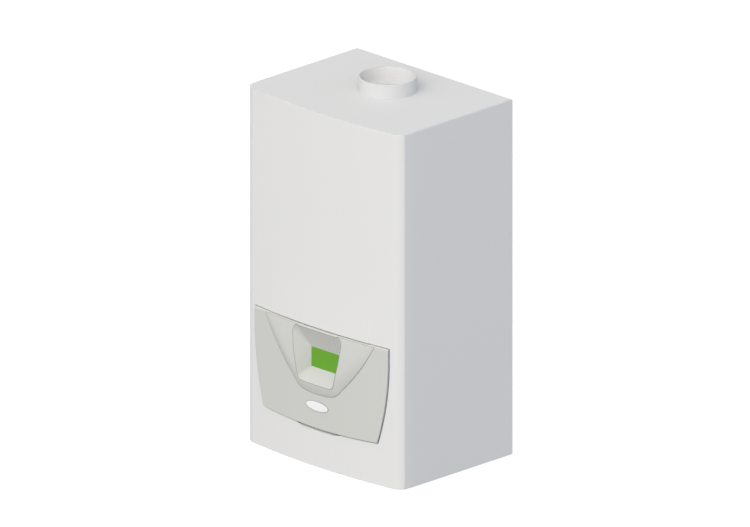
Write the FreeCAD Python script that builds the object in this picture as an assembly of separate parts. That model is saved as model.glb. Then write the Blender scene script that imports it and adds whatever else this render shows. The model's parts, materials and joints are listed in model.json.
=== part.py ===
"""A wall-hung gas boiler: casing, control door, chassis, combustion and water parts, in millimetres.

X runs to the right, Y runs to the wall at Y = 0 and the front faces -Y. While the pieces are made, Z is the
height above the casing's bottom edge. At the end every piece moves down by HANG_Z, which puts the origin on
the wall, midway between the two screw holes of the wall bracket.
"""
import FreeCAD, Part
import math
import os

V = FreeCAD.Vector
X_AXIS = V(1, 0, 0)
Y_AXIS = V(0, 1, 0)
Z_AXIS = V(0, 0, 1)

# Casing
CASING_W = 400.0
CASING_H = 684.0
CASING_D = 302.0
BOW_R = 1320.0
CORNER_R = 20.0
SHEET = 1.2
WALL_GAP = 1.0
FLANGE_W = 12.8
TOP_FLANGE_DROP = 2.4
STUD_R = 2.5
STUD_BALL_R = 3.6
CLIP_CLEARANCE = 0.5
CLIP_WALL = 2.0
CLIP_L = 8.5
CLIP_X = 150.0
CLIP_TOP_Z = 655.0
CLIP_FOOT_X = 165.0
CLIP_FOOT_Z = 40.0

# Raised brow of the casing above the door
BROW_HALF = 127.0
BROW_PROUD = 1.6
BROW_FADE = 90.0
BROW_END = 0.1

# Control door
DOOR_HALF_TOP = 172.0
DOOR_HALF_FOOT = 146.0
DOOR_TOP = 267.0
DOOR_KNEE = 245.0
DOOR_CORNER_Z = 81.0
DOOR_LOW = 75.0
DOOR_SIDE_R = 517.0
DOOR_PROUD = 2.4
DOOR_WALL = 2.4
DOOR_RIM = 8.0
DOOR_EDGE_R = 3.0
DOOR_GAP = 1.2
DOOR_TOP_GAP = 3.0

# Raised shield of the door, with its funnel window
NOSE_LOW = 141.0
NOSE_PEAK_Z = 185.0
NOSE_PEAK = 8.0
NOSE_FOOT_PROUD = 6.3
NOSE_TOP_HALF = 129.7
NOSE_MID = (99.2, 212.7)
NOSE_SHOULDER = (58.7, 162.3)
NOSE_HEEL = (34.0, 143.5)
NOSE_HEEL_R = 60.0
NOSE_FLANK = 10.0
NOSE_FLANK_D = 7.6
MOUTH_TOP = 263.0
MOUTH_TOP_HALF = 63.0
MOUTH_LOW = 161.0
MOUTH_LOW_HALF = 44.0
MOUTH_R = 12.0
MOUTH_TOP_PROUD = 2.0
MOUTH_LOW_PROUD = 7.3
FUNNEL_WALL = 2.0
BADGE_W = 58.0
BADGE_H = 20.0
BADGE_Z = 118.0
BADGE_T = 1.0

# Door hinge
HINGE_Z = 263.5
HINGE_SETBACK = 3.5
HINGE_ROD_R = 1.25
HINGE_PRESS_GAP = 0.02
HINGE_RUN_GAP = 0.07
HINGE_EAR_X = 50.0
HINGE_EAR_W = 4.0
HINGE_EAR_R = 2.1
HINGE_EAR_GAP = 0.5
HINGE_LUG_W = 5.0
HINGE_LUG_R = 3.0

# Finger scoop under the door
SCOOP_HALF = 61.0
SCOOP_LOW = 66.0
SCOOP_REACH = 18.0
SCOOP_WALL = 2.0
SCOOP_DOOR_GAP = 2.5

# Wall bracket and hook
HANG_Z = 600.0
BRACKET_HALF = 150.0
BRACKET_T = 2.0
BRACKET_LOW = 582.0
BRACKET_SHELF = 624.0
BRACKET_LIP_Y = 7.0
BRACKET_LIP_TOP = 648.0
BRACKET_HOLE_R = 4.5
BRACKET_HOLE_SPACING = 250.0
HOOK_HALF = 140.0
HOOK_LOW = 600.0
HOOK_TONGUE_GAP = 1.0
HOOK_TONGUE_LOW = 626.0

# Chassis sheets
CHASSIS_T = 1.5
CHASSIS_GAP = 0.8
BACK_STAND = 14.0
BACK_FOOT_W = 12.0
BACK_LOW = 16.0
BACK_TOP = 680.0
TOP_GAP = 0.6
BASE_Z = 14.0
BASE_SETBACK = 28.0
REAR_FLANGE_H = 25.0
RAIL_W = 16.0
RAIL_H = 14.0
CLIP_TAB_LOW = 10.0
SCREW_R = 2.0
SCREW_GAP = 0.1
SCREW_HEAD_R = 4.0
SCREW_HEAD_H = 2.5
SCREW_L = 7.0
SCREW_XS = (-150.0, -60.0, 60.0, 150.0)
HOLE_GAP = 0.5

# Flue
FLUE_Y = 122.0
COLLAR_BORE_R = 50.5
COLLAR_WALL = 3.0
COLLAR_H = 27.0
SOCKET_BORE_R = 30.2
SOCKET_WALL = 2.3
SOCKET_LOW = 636.0
SOCKET_DROP = 0.5
SOCKET_FLANGE = 2.8
SHOULDER_Z = 646.0
SHOULDER_W = 1.7
FLUE_GAP = 0.3
FLUE_WALL = 1.0
AIR_SLOT_R = (37.0, 46.0)
AIR_SLOT_ARCS = ((-120.0, 45.0), (-67.0, 45.0), (-14.0, 40.0))

# Heat exchanger
HX_HALF = 108.0
HX_FLUE_ROOM = 7.8
HX_SETBACK = 40.0
HX_LOW = 330.0
HX_TOP = 556.0
HX_WALL = 12.0
HX_CHAMBER_LOW = 400.0
HX_SLOTS = 9
HX_SLOT_W = 12.0
HX_RIBS = 6
HX_RIB_T = 4.0
HX_RIB_H = 8.0
PORT_L = 6.0
PORT_WALL = 4.0
HX_RETURN_Z = 350.0
HX_FLOW_Z = 530.0
HX_BRACKET_X = 152.0
HX_BRACKET_Z = (430.0, 470.0)
HX_BRACKET_D = 30.0
HX_TAB = 35.0

# Burner and hood
GASKET_T = 2.0
HOOD_T = 8.0
HOOD_BOX_X = (-60.0, 20.0)
HOOD_BOX_TOP = 600.0
HOOD_BOX_WALL = 2.5
FEED_INSET = 8.0
BURNER_HALF = 70.0
BURNER_INSET = 8.0
BURNER_H = 30.0
BURNER_WALL = 1.5
BURNER_SLOTS = 11
BURNER_SLOT_W = 3.0
STUD_HOLE_GAP = 0.1
HOOD_STUD_R = 2.5
HOOD_STUD_L = 35.0
HOOD_STUD_DEPTH = 18.0
NUT_H = 5.0
NUT_R = 5.2
ELECTRODE_X = -84.0
ELECTRODE_INSET = 27.0
ELECTRODE_R = 4.5
ELECTRODE_TOP = 592.0
ELECTRODE_LOW = 515.0
ELECTRODE_TIP_R = 1.2
ELECTRODE_FLANGE_R = 9.0
ELECTRODE_FLANGE_T = 3.0

# Fan
FAN_X = 110.0
FAN_Z = 618.0
FAN_R = 48.0
FAN_SETBACK = 112.0
FAN_D = 50.0
FAN_WALL = 2.5
FAN_DUCT_Z = (570.0, 596.0)
FAN_INLET_R = 20.0
FAN_SHAFT_R = 3.0
FAN_MOTOR_R = 32.0
FAN_MOTOR_L = 40.0
FAN_WHEEL_R = 42.0
FAN_WHEEL_GAP = 3.5
FAN_BLADES = 14
FAN_BLADE_T = 1.5
FAN_BLADE_INNER = 27.0
RUN_GAP = 0.05
VENTURI_R = 24.0
VENTURI_L = 30.0
VENTURI_THROAT_R = 12.0
VENTURI_MOUTH_R = 18.0
VENTURI_PORT_X = 80.0

# Gas line
GAS_X = -165.0
GAS_SETBACK = 97.0
GAS_PIPE_R = 11.0
PIPE_WALL = 1.5
STUB_LOW = -28.0
UNION_Z = (-6.0, 0.0)
UNION_W = 2.5
GAS_VALVE_X = (-180.0, -120.0)
GAS_VALVE_D = 60.0
GAS_VALVE_Z = (590.0, 650.0)
GAS_BOSS_L = 15.0
GAS_COIL_R = 12.0
GAS_COIL_L = 27.0
GAS_COIL_XS = (-165.0, -135.0)
GAS_COIL_Z = 622.0
GAS_OUT_Z = 637.0
GAS_OUT_L = 8.0
GAS_FEED_R = 7.0
GAS_FEED_BEND = 24.0

# Condensate
SUMP_HALF = 105.0
SUMP_SETBACK = 4.0
SUMP_FLUE_ROOM = 3.8
SUMP_LOW = 285.0
SUMP_WALL = 3.0
SPIGOT_H = 15.0
SPIGOT_WALL = 2.5
DRAIN_X = 45.0
DRAIN_SETBACK = 34.0
DRAIN_R = 9.0
DRAIN_WALL = 2.0
DRAIN_LOW = 256.0
TRAP_R = 20.0
TRAP_WALL = 2.5
TRAP_LOW = 60.0
TRAP_TOP = 262.0
TRAP_OUT_R = 11.0
TRAP_FIT_GAP = 0.2

# Pump
PUMP_X = 120.0
PUMP_Y = 85.0
PUMP_Z = 110.0
PUMP_R = 48.0
PUMP_D = 50.0
PUMP_WALL = 5.0
PUMP_PORT_R = 14.0
PUMP_PORT_LOW = 50.0
PUMP_PORT_TOP = 166.0
PUMP_FOOT_HALF = 20.0
PUMP_FOOT_H = 20.0
PUMP_MOTOR_R = 42.0
PUMP_BOX_GAP = 34.0
PUMP_CAP_R = 10.0
PUMP_CAP_L = 3.0
PUMP_SHAFT_R = 4.0
PUMP_SHAFT_DEPTH = 40.0
PUMP_WHEEL_R = 38.0
PUMP_BLADES = 7
PUMP_BLADE_T = 2.5
WATER_PIPE_R = 9.0
HEATING_PIPE_R = 11.0
WATER_BEND = 17.0

# Vessel
VESSEL_HALF = 150.0
VESSEL_ROOM = 2.5
VESSEL_Z = (300.0, 640.0)
VESSEL_WALL = 1.6
VESSEL_EDGE_R = 24.0
VESSEL_PORT_X = 88.0
VESSEL_PORT_Y = 50.0
VESSEL_PORT_L = 8.0
VESSEL_PIPE_R = 5.0
VESSEL_PUMP_TOP = 175.0

# Relief valve and vent
RELIEF_X = 152.0
RELIEF_R = 11.0
RELIEF_Z = (165.0, 188.0)
RELIEF_OUT_X = 170.0
RELIEF_OUT_Z = 176.0
RELIEF_PIPE_X = 180.0
RELIEF_PIPE_R = 5.0
RELIEF_PIPE_LOW = -6.0
KNOB_R = 12.0
KNOB_H = 19.0
KNOB_GRIPS = 8
KNOB_GAP = 1.0
KNOB_SPINDLE_R = 3.0
VENT_X = 126.0
VENT_R = 10.0
VENT_Z = (500.0, 545.0)
VENT_CAP_R = 6.0
VENT_CAP_H = 7.0
VENT_STUB_R = 5.0

# Diverter valve and plate exchanger
DIVERTER_X = -95.0
DIVERTER_Y = 95.0
DIVERTER_R = 20.0
DIVERTER_Z = (75.0, 130.0)
DIVERTER_PORT_Z = 105.0
DIVERTER_PORT_X = -125.0
DIVERTER_FOOT = 62.0
ACTUATOR_HALF = 22.0
ACTUATOR_D = 50.0
ACTUATOR_H = 55.0
PLATE_X = (-55.0, 30.0)
PLATE_D = 60.0
PLATE_BACK = 65.0
PLATE_Z = (65.0, 255.0)
PLATE_GROOVES = 11
PLATE_GROOVE_W = 1.6
PLATE_GROOVE_D = 4.0
PLATE_FOOT_X = (-30.0, 5.0)
PLATE_FOOT_Z = (150.0, 170.0)
PLATE_PORT_L = 7.0
TAP_PIPE_R = 7.5
TAP_PIPE_XS = (-40.0, 15.0)

# Control box and fascia
BOX_HALF = 150.0
BOX_Z = (70.0, 275.0)
BOX_D = 52.0
BOX_SETBACK = 26.0
BOX_WALL = 2.0
BOX_STAND_X = 115.0
BOX_STAND_W = 20.0
BOX_STAND_D = 26.0
FASCIA_T = 3.0
FASCIA_HALF = 160.0
FASCIA_Z = (62.0, 283.0)
BOARD_HALF = 132.0
BOARD_Z = (84.0, 262.0)
BOARD_SETBACK = 14.0
BOARD_T = 1.6
BOARD_POST_R = 4.0
BOARD_POST_IN = 10.0
BOARD_BLOCKS = (
    (-110.0, 40.0, 110.0, 30.0, 20.0),
    (-40.0, 60.0, 95.0, 40.0, 25.0),
    (50.0, 50.0, 200.0, 45.0, 22.0),
)
DISPLAY_W = 72.0
DISPLAY_H = 38.0
DISPLAY_Z = 201.0
SCREEN_PROUD = 2.9
SCREEN_T = 2.0
SCREEN_EDGE = 3.5
MODULE_EDGE = 6.0
FIT_GAP = 0.3
FUNNEL_GAP = 0.6

# Pressure gauge
GAUGE_X = -105.0
GAUGE_Z = 190.0
GAUGE_R = 19.0
GAUGE_WALL = 1.4
GAUGE_BEZEL_R = 22.0
GAUGE_BEZEL_T = 2.0
GAUGE_LIP = 2.0
GAUGE_L = 15.0
DIAL_SINK = 3.0
GLASS_T = 1.2
GLASS_INSET = 0.5
POINTER_L = 13.0
POINTER_W = 1.6
POINTER_T = 0.8
POINTER_LIFT = 1.4
POINTER_HUB_R = 2.5
POINTER_PIN_R = 1.0
POINTER_REST = 60.0

# Rocker switch
ROCKER_X = 105.0
ROCKER_Z = 190.0
ROCKER_W = 21.6
ROCKER_H = 17.0
ROCKER_PROUD = 6.0
ROCKER_D = 10.0
ROCKER_AXIS_SINK = 7.0
ROCKER_TILT = 8.0
ROCKER_PIN_R = 1.5
ROCKER_SIDE_GAP = 0.4
ROCKER_END_GAP = 1.7
SWITCH_WALL = 1.3
SWITCH_BEZEL = 1.5
SWITCH_BEZEL_T = 2.0
SWITCH_D = 14.0

# Keys
KEY_XS = (-45.0, -15.0, 15.0, 45.0)
KEY_Z = 115.0
KEY_R = 6.5
KEY_PROUD = 7.0
KEY_GAP = 0.3
KEY_FLANGE = 2.0
KEY_FLANGE_T = 1.5
KEY_STEM_R = 3.0
KEY_ROOM = 1.7
TACT_R = 2.5
TACT_H = 2.3

# Inner cables
CABLE_R = 2.5
CABLE_BEND = 30.0
FAN_CABLE_X = 132.0
VALVE_CABLE_X = -132.0
CABLE_INSET = 16.0

# Worked out from the sizes above
BOW_Y = BOW_R - CASING_D
BACK_FACE = BACK_STAND + CHASSIS_T
FLANGE_FACE = BACK_FACE + CHASSIS_T
BACK_HALF = CASING_W / 2 - SHEET - CHASSIS_GAP
BASE_TOP = BASE_Z + CHASSIS_T
PLATE_UNDER = CASING_H - CHASSIS_T
BOX_FRONT = CASING_D - BOX_SETBACK
BOX_BACK = BOX_FRONT - BOX_D
BOARD_FRONT = BOX_FRONT - BOARD_SETBACK
FASCIA_FRONT = BOX_FRONT + FASCIA_T
DISPLAY_DEPTH = FASCIA_FRONT + SCREEN_PROUD
GAUGE_BACK = FASCIA_FRONT - GAUGE_L
DIAL_DEPTH = FASCIA_FRONT - DIAL_SINK
ROCKER_FRONT = FASCIA_FRONT + ROCKER_PROUD
ROCKER_BACK = ROCKER_FRONT - ROCKER_D
ROCKER_AXIS_DEPTH = ROCKER_FRONT - ROCKER_AXIS_SINK
KEY_STEM_END = BOARD_FRONT + TACT_H + KEY_ROOM
CABLE_Y = BOX_BACK + CABLE_INSET
HINGE_DEPTH = CASING_D - HINGE_SETBACK
SCOOP_DEPTH = CASING_D - SCOOP_REACH
BASE_FRONT = CASING_D - BASE_SETBACK
TAB_FRONT = BASE_FRONT + CHASSIS_T
SUMP_BACK = FLUE_Y - SOCKET_BORE_R - SUMP_FLUE_ROOM
VESSEL_D = SUMP_BACK - BACK_FACE - VESSEL_ROOM
HX_BACK = FLUE_Y + SOCKET_BORE_R + HX_FLUE_ROOM
HX_FRONT = CASING_D - HX_SETBACK
HX_D = HX_FRONT - HX_BACK
SUMP_FRONT = HX_FRONT - SUMP_SETBACK
ELECTRODE_Y = HX_FRONT - ELECTRODE_INSET
HX_BRACKET_FRONT = HX_BACK + HX_BRACKET_D
GAS_Y = CASING_D - GAS_SETBACK
DRAIN_Y = BOX_BACK - DRAIN_SETBACK
HX_MID = HX_BACK + HX_D / 2
HOOD_LOW = HX_TOP + GASKET_T
HOOD_TOP = HOOD_LOW + HOOD_T
FAN_BACK = CASING_D - FAN_SETBACK
FAN_FRONT = FAN_BACK + FAN_D
PUMP_BACK = PUMP_Y - PUMP_D / 2
PUMP_FRONT = PUMP_Y + PUMP_D / 2
PUMP_MOTOR_L = BOX_BACK - PUMP_FRONT - PUMP_BOX_GAP
PUMP_MOTOR_FRONT = PUMP_FRONT + PUMP_MOTOR_L
DOOR_BOW = BOW_R + DOOR_PROUD
NOSE_TOP = DOOR_TOP - DOOR_EDGE_R
FUNNEL_DEPTH = DISPLAY_DEPTH + FUNNEL_GAP
SCOOP_TOP = DOOR_LOW + (DOOR_CORNER_Z - DOOR_LOW) * (SCOOP_HALF / DOOR_HALF_FOOT) ** 2
FAR = 60.0


def block(x, y, z):
    """A box between pairs of X, of depth from the wall, and of height."""
    return Part.makeBox(x[1] - x[0], y[1] - y[0], z[1] - z[0], V(x[0], -y[1], z[0]))


def around(middle, half):
    """The pair of values half a width to each side of a middle."""
    return (middle - half, middle + half)


def rod_x(r, x, depth, z):
    return Part.makeCylinder(r, x[1] - x[0], V(x[0], -depth, z), X_AXIS)


def rod_y(r, x, depth, z):
    """A cylinder square to the wall, between two depths."""
    return Part.makeCylinder(r, depth[1] - depth[0], V(x, -depth[1], z), Y_AXIS)


def rod_z(r, x, depth, z):
    return Part.makeCylinder(r, z[1] - z[0], V(x, -depth, z[0]), Z_AXIS)


def ring_y(r, wall, x, depth, z):
    return rod_y(r, x, depth, z).cut(rod_y(r - wall, x, depth, z))


def ring_z(r, wall, x, depth, z):
    return rod_z(r, x, depth, z).cut(rod_z(r - wall, x, depth, z))


def join(shapes):
    """One solid from shapes that overlap or share a face."""
    whole = shapes[0].multiFuse(shapes[1:])
    return whole.removeSplitter()


def cut_all(shape, tools):
    return shape.cut(tools)


def mirrored(shape):
    return shape.mirror(V(0, 0, 0), X_AXIS)


def corner_arc(before, corner, after, radius):
    """Start, middle and end of the arc that rounds a corner between two straight runs."""
    back = (before - corner).normalize()
    ahead = (after - corner).normalize()
    half = back.getAngle(ahead) / 2
    reach = radius / math.tan(half)
    inward = (back + ahead).normalize()
    middle = corner + inward * (radius / math.sin(half) - radius)
    return corner + back * reach, middle, corner + ahead * reach


def rounded_loop(corners, radius):
    """A closed wire through flat corners, each one rounded."""
    count = len(corners)
    arcs = []
    for i in range(count):
        arcs.append(corner_arc(corners[i - 1], corners[i], corners[(i + 1) % count], radius))
    edges = []
    for i, (start, middle, end) in enumerate(arcs):
        edges.append(Part.Arc(start, middle, end).toShape())
        edges.append(Part.LineSegment(end, arcs[(i + 1) % count][0]).toShape())
    return Part.Wire(edges)


def bent_path(points, bend):
    """An open wire of straight runs joined by tangent arcs."""
    edges = []
    last = points[0]
    for i in range(1, len(points) - 1):
        start, middle, end = corner_arc(points[i - 1], points[i], points[i + 1], bend)
        edges.append(Part.LineSegment(last, start).toShape())
        edges.append(Part.Arc(start, middle, end).toShape())
        last = end
    edges.append(Part.LineSegment(last, points[-1]).toShape())
    return Part.Wire(edges)


def sweep(points, radius, bend, wall=None):
    """A round tube, or a round rod where no wall is given, along a bent path."""
    route = [V(x, -depth, z) for x, depth, z in points]
    along = route[1] - route[0]
    outer = Part.Wire(Part.makeCircle(radius, route[0], along))
    path = bent_path(route, bend)
    if wall is None:
        return path.makePipe(Part.Face(outer))
    inner = Part.Wire(Part.makeCircle(radius - wall, route[0], along))
    return path.makePipe(Part.Face(outer)).cut(path.makePipe(Part.Face(inner)))


def bow_depth(x, inset):
    """Depth from the wall of the bowed front, an inset behind its outer surface."""
    return math.sqrt((BOW_R - inset) ** 2 - x ** 2) - BOW_Y


def plan_prism(inset, back, z):
    """The casing's plan outline, drawn in and open to a rear line, raised between two heights."""
    half = CASING_W / 2 - inset
    bow = BOW_R - inset
    corner = CORNER_R - inset
    cx = half - corner
    cy = BOW_Y - math.sqrt((bow - corner) ** 2 - cx ** 2)
    out = V(cx, cy - BOW_Y, 0).normalize()
    middle = (out + X_AXIS).normalize()
    touch = V(0, BOW_Y, 0) + out * bow
    bend = V(cx, cy, 0) + middle * corner
    side = V(half, cy, 0)
    rear = V(half, -back, 0)
    flip = lambda p: V(-p.x, p.y, 0)
    edges = [
        Part.LineSegment(rear, side).toShape(),
        Part.Arc(side, bend, touch).toShape(),
        Part.Arc(touch, V(0, BOW_Y - bow, 0), flip(touch)).toShape(),
        Part.Arc(flip(touch), flip(bend), flip(side)).toShape(),
        Part.LineSegment(flip(side), flip(rear)).toShape(),
        Part.LineSegment(flip(rear), rear).toShape(),
    ]
    face = Part.Face(Part.Wire(edges))
    face.translate(V(0, 0, z[0]))
    return face.extrude(V(0, 0, z[1] - z[0]))


def bow_disc(radius, z):
    """A tall disc about the upright axis of the bowed front."""
    return Part.makeCylinder(radius, z[1] - z[0], V(0, BOW_Y, z[0]), Z_AXIS)


def bow_sector(edges, half_width):
    """A profile of edges in radius and height, turned about the axis of the bowed front."""
    half_angle = math.degrees(math.asin(half_width / BOW_R))
    face = Part.Face(Part.Wire(edges))
    face.rotate(V(0, BOW_Y, 0), Z_AXIS, -half_angle)
    return face.revolve(V(0, BOW_Y, 0), Z_AXIS, 2 * half_angle)


def bow_point(radius, z):
    return V(0, BOW_Y - radius, z)


def front_prism(wire, depth):
    """A flat front outline, drawn at Y = 0, pushed out between two depths."""
    face = Part.Face(wire)
    face.translate(V(0, -depth[1], 0))
    return face.extrude(V(0, depth[1] - depth[0], 0))


def flat(x, z):
    return V(x, 0, z)


def arc_middle(a, b, radius, side):
    """The middle of the arc of a radius between two points of the front plane."""
    chord = b - a
    half = chord.Length / 2
    rise = radius - math.sqrt(radius ** 2 - half ** 2)
    normal = V(-chord.z, 0, chord.x).normalize()
    return (a + b) * 0.5 + normal * (rise * side)


def door_outline():
    top = flat(DOOR_HALF_TOP, DOOR_TOP)
    knee = flat(DOOR_HALF_TOP, DOOR_KNEE)
    foot = flat(DOOR_HALF_FOOT, DOOR_CORNER_Z)
    side = arc_middle(knee, foot, DOOR_SIDE_R, 1)
    flip = lambda p: V(-p.x, 0, p.z)
    return Part.Wire([
        Part.LineSegment(flip(top), top).toShape(),
        Part.LineSegment(top, knee).toShape(),
        Part.Arc(knee, side, foot).toShape(),
        Part.Arc(foot, flat(0, DOOR_LOW), flip(foot)).toShape(),
        Part.Arc(flip(foot), flip(side), flip(knee)).toShape(),
        Part.LineSegment(flip(knee), flip(top)).toShape(),
    ])


def scoop_outline(grow=0.0):
    """The crescent below the door where a fingertip goes in."""
    half = SCOOP_HALF + grow
    high = SCOOP_TOP
    return Part.Wire([
        Part.Arc(flat(-half, high), flat(0, SCOOP_LOW - grow), flat(half, high)).toShape(),
        Part.LineSegment(flat(half, high), flat(-half, high)).toShape(),
    ])


def grown(wire, distance):
    return wire.makeOffset2D(distance, join=2)


# Casing body

def clip_places():
    """Where the casing's four ball studs push into their clips."""
    high = [(CLIP_X, CLIP_TOP_Z), (-CLIP_X, CLIP_TOP_Z)]
    low = [(CLIP_FOOT_X, CLIP_FOOT_Z), (-CLIP_FOOT_X, CLIP_FOOT_Z)]
    return high + low


def front_casing():
    whole = (0.0, CASING_H)
    shell = plan_prism(0.0, WALL_GAP, whole).cut(plan_prism(SHEET, -FAR, (-FAR, CASING_H + FAR)))
    turned_in = SHEET + FLANGE_W
    parts = [shell]
    top = CASING_H - TOP_FLANGE_DROP
    for z in ((0.0, SHEET), (top - SHEET, top)):
        ring = plan_prism(SHEET / 2, WALL_GAP, z).cut(plan_prism(turned_in, -FAR, (z[0] - 1, z[1] + 1)))
        parts.append(ring)
    low = DOOR_TOP + DOOR_TOP_GAP
    skin = BOW_R - SHEET / 2
    fade = low + BROW_FADE
    corners = [(skin, low), (BOW_R + BROW_PROUD, low), (BOW_R + BROW_END, fade), (skin, fade), (skin, low)]
    brow = Part.makePolygon([bow_point(*corner) for corner in corners])
    parts.append(bow_sector(brow.Edges, BROW_HALF))
    for x, z in clip_places():
        wall = bow_depth(x, SHEET / 2)
        parts.append(rod_y(STUD_R, x, (TAB_FRONT + CLIP_L / 2, wall), z))
        parts.append(Part.makeSphere(STUD_BALL_R, V(x, -TAB_FRONT - CLIP_L / 2, z)))
    front = (CASING_D - FAR / 2, CASING_D + FAR)
    holes = [
        front_prism(grown(door_outline(), DOOR_GAP), front),
        front_prism(scoop_outline(), front),
        block(around(0, BROW_HALF), front, (DOOR_KNEE, low)),
    ]
    return cut_all(join(parts), holes)


def finger_scoop():
    rim = SCOOP_TOP + FAR
    body = front_prism(scoop_outline(SCOOP_WALL), (SCOOP_DEPTH - SCOOP_WALL, CASING_D))
    hollow = front_prism(scoop_outline(), (SCOOP_DEPTH, CASING_D + FAR))
    body = body.cut(hollow).common(bow_disc(BOW_R - SHEET, (0, rim)))
    above = block(around(0, CASING_W), (0, CASING_D + FAR), (DOOR_LOW - SCOOP_DOOR_GAP, rim))
    return body.cut(above)


# Door body

def nose_region(inset):
    """The space behind the shield's bulged front, an inset behind it."""
    behind = BOW_R - FAR
    foot = bow_point(BOW_R + NOSE_FOOT_PROUD - inset, NOSE_LOW)
    peak = bow_point(BOW_R + NOSE_PEAK - inset, NOSE_PEAK_Z)
    brow = bow_point(DOOR_BOW - inset, NOSE_TOP)
    top = bow_point(DOOR_BOW - inset, DOOR_TOP)
    low = NOSE_LOW - FAR
    under = bow_point(BOW_R + NOSE_FOOT_PROUD - inset, low)
    edges = [
        Part.LineSegment(bow_point(behind, low), under).toShape(),
        Part.LineSegment(under, foot).toShape(),
        Part.Arc(foot, peak, brow).toShape(),
        Part.LineSegment(brow, top).toShape(),
        Part.LineSegment(top, bow_point(behind, DOOR_TOP)).toShape(),
        Part.LineSegment(bow_point(behind, DOOR_TOP), bow_point(behind, low)).toShape(),
    ]
    return bow_sector(edges, DOOR_HALF_TOP + FAR)


def nose_outline(grow):
    """The shield's V outline, grown, and carried on above the door so that its flank has no top edge."""
    corner = flat(NOSE_TOP_HALF, DOOR_TOP)
    mid = flat(*NOSE_MID)
    shoulder = flat(*NOSE_SHOULDER)
    heel = flat(*NOSE_HEEL)
    bend = arc_middle(shoulder, heel, NOSE_HEEL_R, 1)
    above = corner + (corner - mid).normalize() * FAR
    flip = lambda p: V(-p.x, 0, p.z)
    line = [above + (above - corner), above, corner, mid, shoulder, bend, heel, flat(0, NOSE_LOW), flip(heel)]
    moved = []
    for before, point, after in zip(line, line[1:], line[2:]):
        along = after - before
        moved.append(point + V(-along.z, 0, along.x).normalize() * grow)
    above, corner, mid, shoulder, bend, heel, low = moved
    return Part.Wire([
        Part.LineSegment(flip(above), above).toShape(),
        Part.LineSegment(above, corner).toShape(),
        Part.Arc(corner, mid, shoulder).toShape(),
        Part.Arc(shoulder, bend, heel).toShape(),
        Part.Arc(heel, low, flip(heel)).toShape(),
        Part.Arc(flip(heel), flip(bend), flip(shoulder)).toShape(),
        Part.Arc(flip(shoulder), flip(mid), flip(corner)).toShape(),
        Part.LineSegment(flip(corner), flip(above)).toShape(),
    ])


def nose_flanks(inset):
    """The V outline with sloping flanks that narrow towards the front."""
    surface = CASING_D + DOOR_PROUD
    wires = []
    for steps in (-2, 1):
        wire = nose_outline(-inset - NOSE_FLANK * steps)
        wire.translate(V(0, -surface - NOSE_FLANK_D * steps, 0))
        wires.append(wire)
    return Part.makeLoft(wires, True, True)


def funnel(grow, reach, back):
    """The funnel from the shield's mouth to the display, grown by a wall and carried past its two ends."""
    top = CASING_D + MOUTH_TOP_PROUD
    low = CASING_D + MOUTH_LOW_PROUD
    front = [
        V(MOUTH_TOP_HALF + grow, -top, MOUTH_TOP + grow),
        V(-MOUTH_TOP_HALF - grow, -top, MOUTH_TOP + grow),
        V(-MOUTH_LOW_HALF - grow, -low, MOUTH_LOW - grow),
        V(MOUTH_LOW_HALF + grow, -low, MOUTH_LOW - grow),
    ]
    x = DISPLAY_W / 2 + grow
    z = DISPLAY_H / 2 + grow
    rear = [
        V(x, -FUNNEL_DEPTH, DISPLAY_Z + z),
        V(-x, -FUNNEL_DEPTH, DISPLAY_Z + z),
        V(-x, -FUNNEL_DEPTH, DISPLAY_Z - z),
        V(x, -FUNNEL_DEPTH, DISPLAY_Z - z),
    ]
    outer = [b + (a - b) * (1 + reach) for a, b in zip(front, rear)]
    inner = [b - (a - b) * back for a, b in zip(front, rear)]
    return Part.makeLoft([rounded_loop(outer, MOUTH_R), rounded_loop(inner, FUNNEL_WALL)], True, True)


def hinge_lugs():
    """The door's two pairs of lugs, each pair beside an ear."""
    gap = HINGE_EAR_W / 2 + HINGE_EAR_GAP
    lugs = []
    for ear in (-HINGE_EAR_X, HINGE_EAR_X):
        for x in ((ear - gap - HINGE_LUG_W, ear - gap), (ear + gap, ear + gap + HINGE_LUG_W)):
            deep = (HINGE_DEPTH - HINGE_LUG_R, CASING_D)
            lugs.append(block(x, deep, (HINGE_Z - HINGE_LUG_R, NOSE_TOP + 1)))
    return lugs


def hinge_reach():
    """How far the hinge rod runs to each side."""
    return HINGE_EAR_X + HINGE_EAR_W / 2 + HINGE_EAR_GAP + HINGE_LUG_W


def top_round():
    """The waste in front of the door's rounded top edge."""
    centre = DOOR_BOW - DOOR_EDGE_R
    rise = DOOR_EDGE_R / math.sqrt(2)
    edges = [
        Part.Arc(bow_point(DOOR_BOW, NOSE_TOP), bow_point(centre + rise, NOSE_TOP + rise),
                 bow_point(centre, DOOR_TOP)).toShape(),
        Part.LineSegment(bow_point(centre, DOOR_TOP), bow_point(centre, DOOR_TOP + 1)).toShape(),
        Part.LineSegment(bow_point(centre, DOOR_TOP + 1), bow_point(DOOR_BOW + 1, DOOR_TOP + 1)).toShape(),
        Part.LineSegment(bow_point(DOOR_BOW + 1, DOOR_TOP + 1), bow_point(DOOR_BOW + 1, NOSE_TOP)).toShape(),
        Part.LineSegment(bow_point(DOOR_BOW + 1, NOSE_TOP), bow_point(DOOR_BOW, NOSE_TOP)).toShape(),
    ]
    return bow_sector(edges, DOOR_HALF_TOP + FAR)


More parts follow.
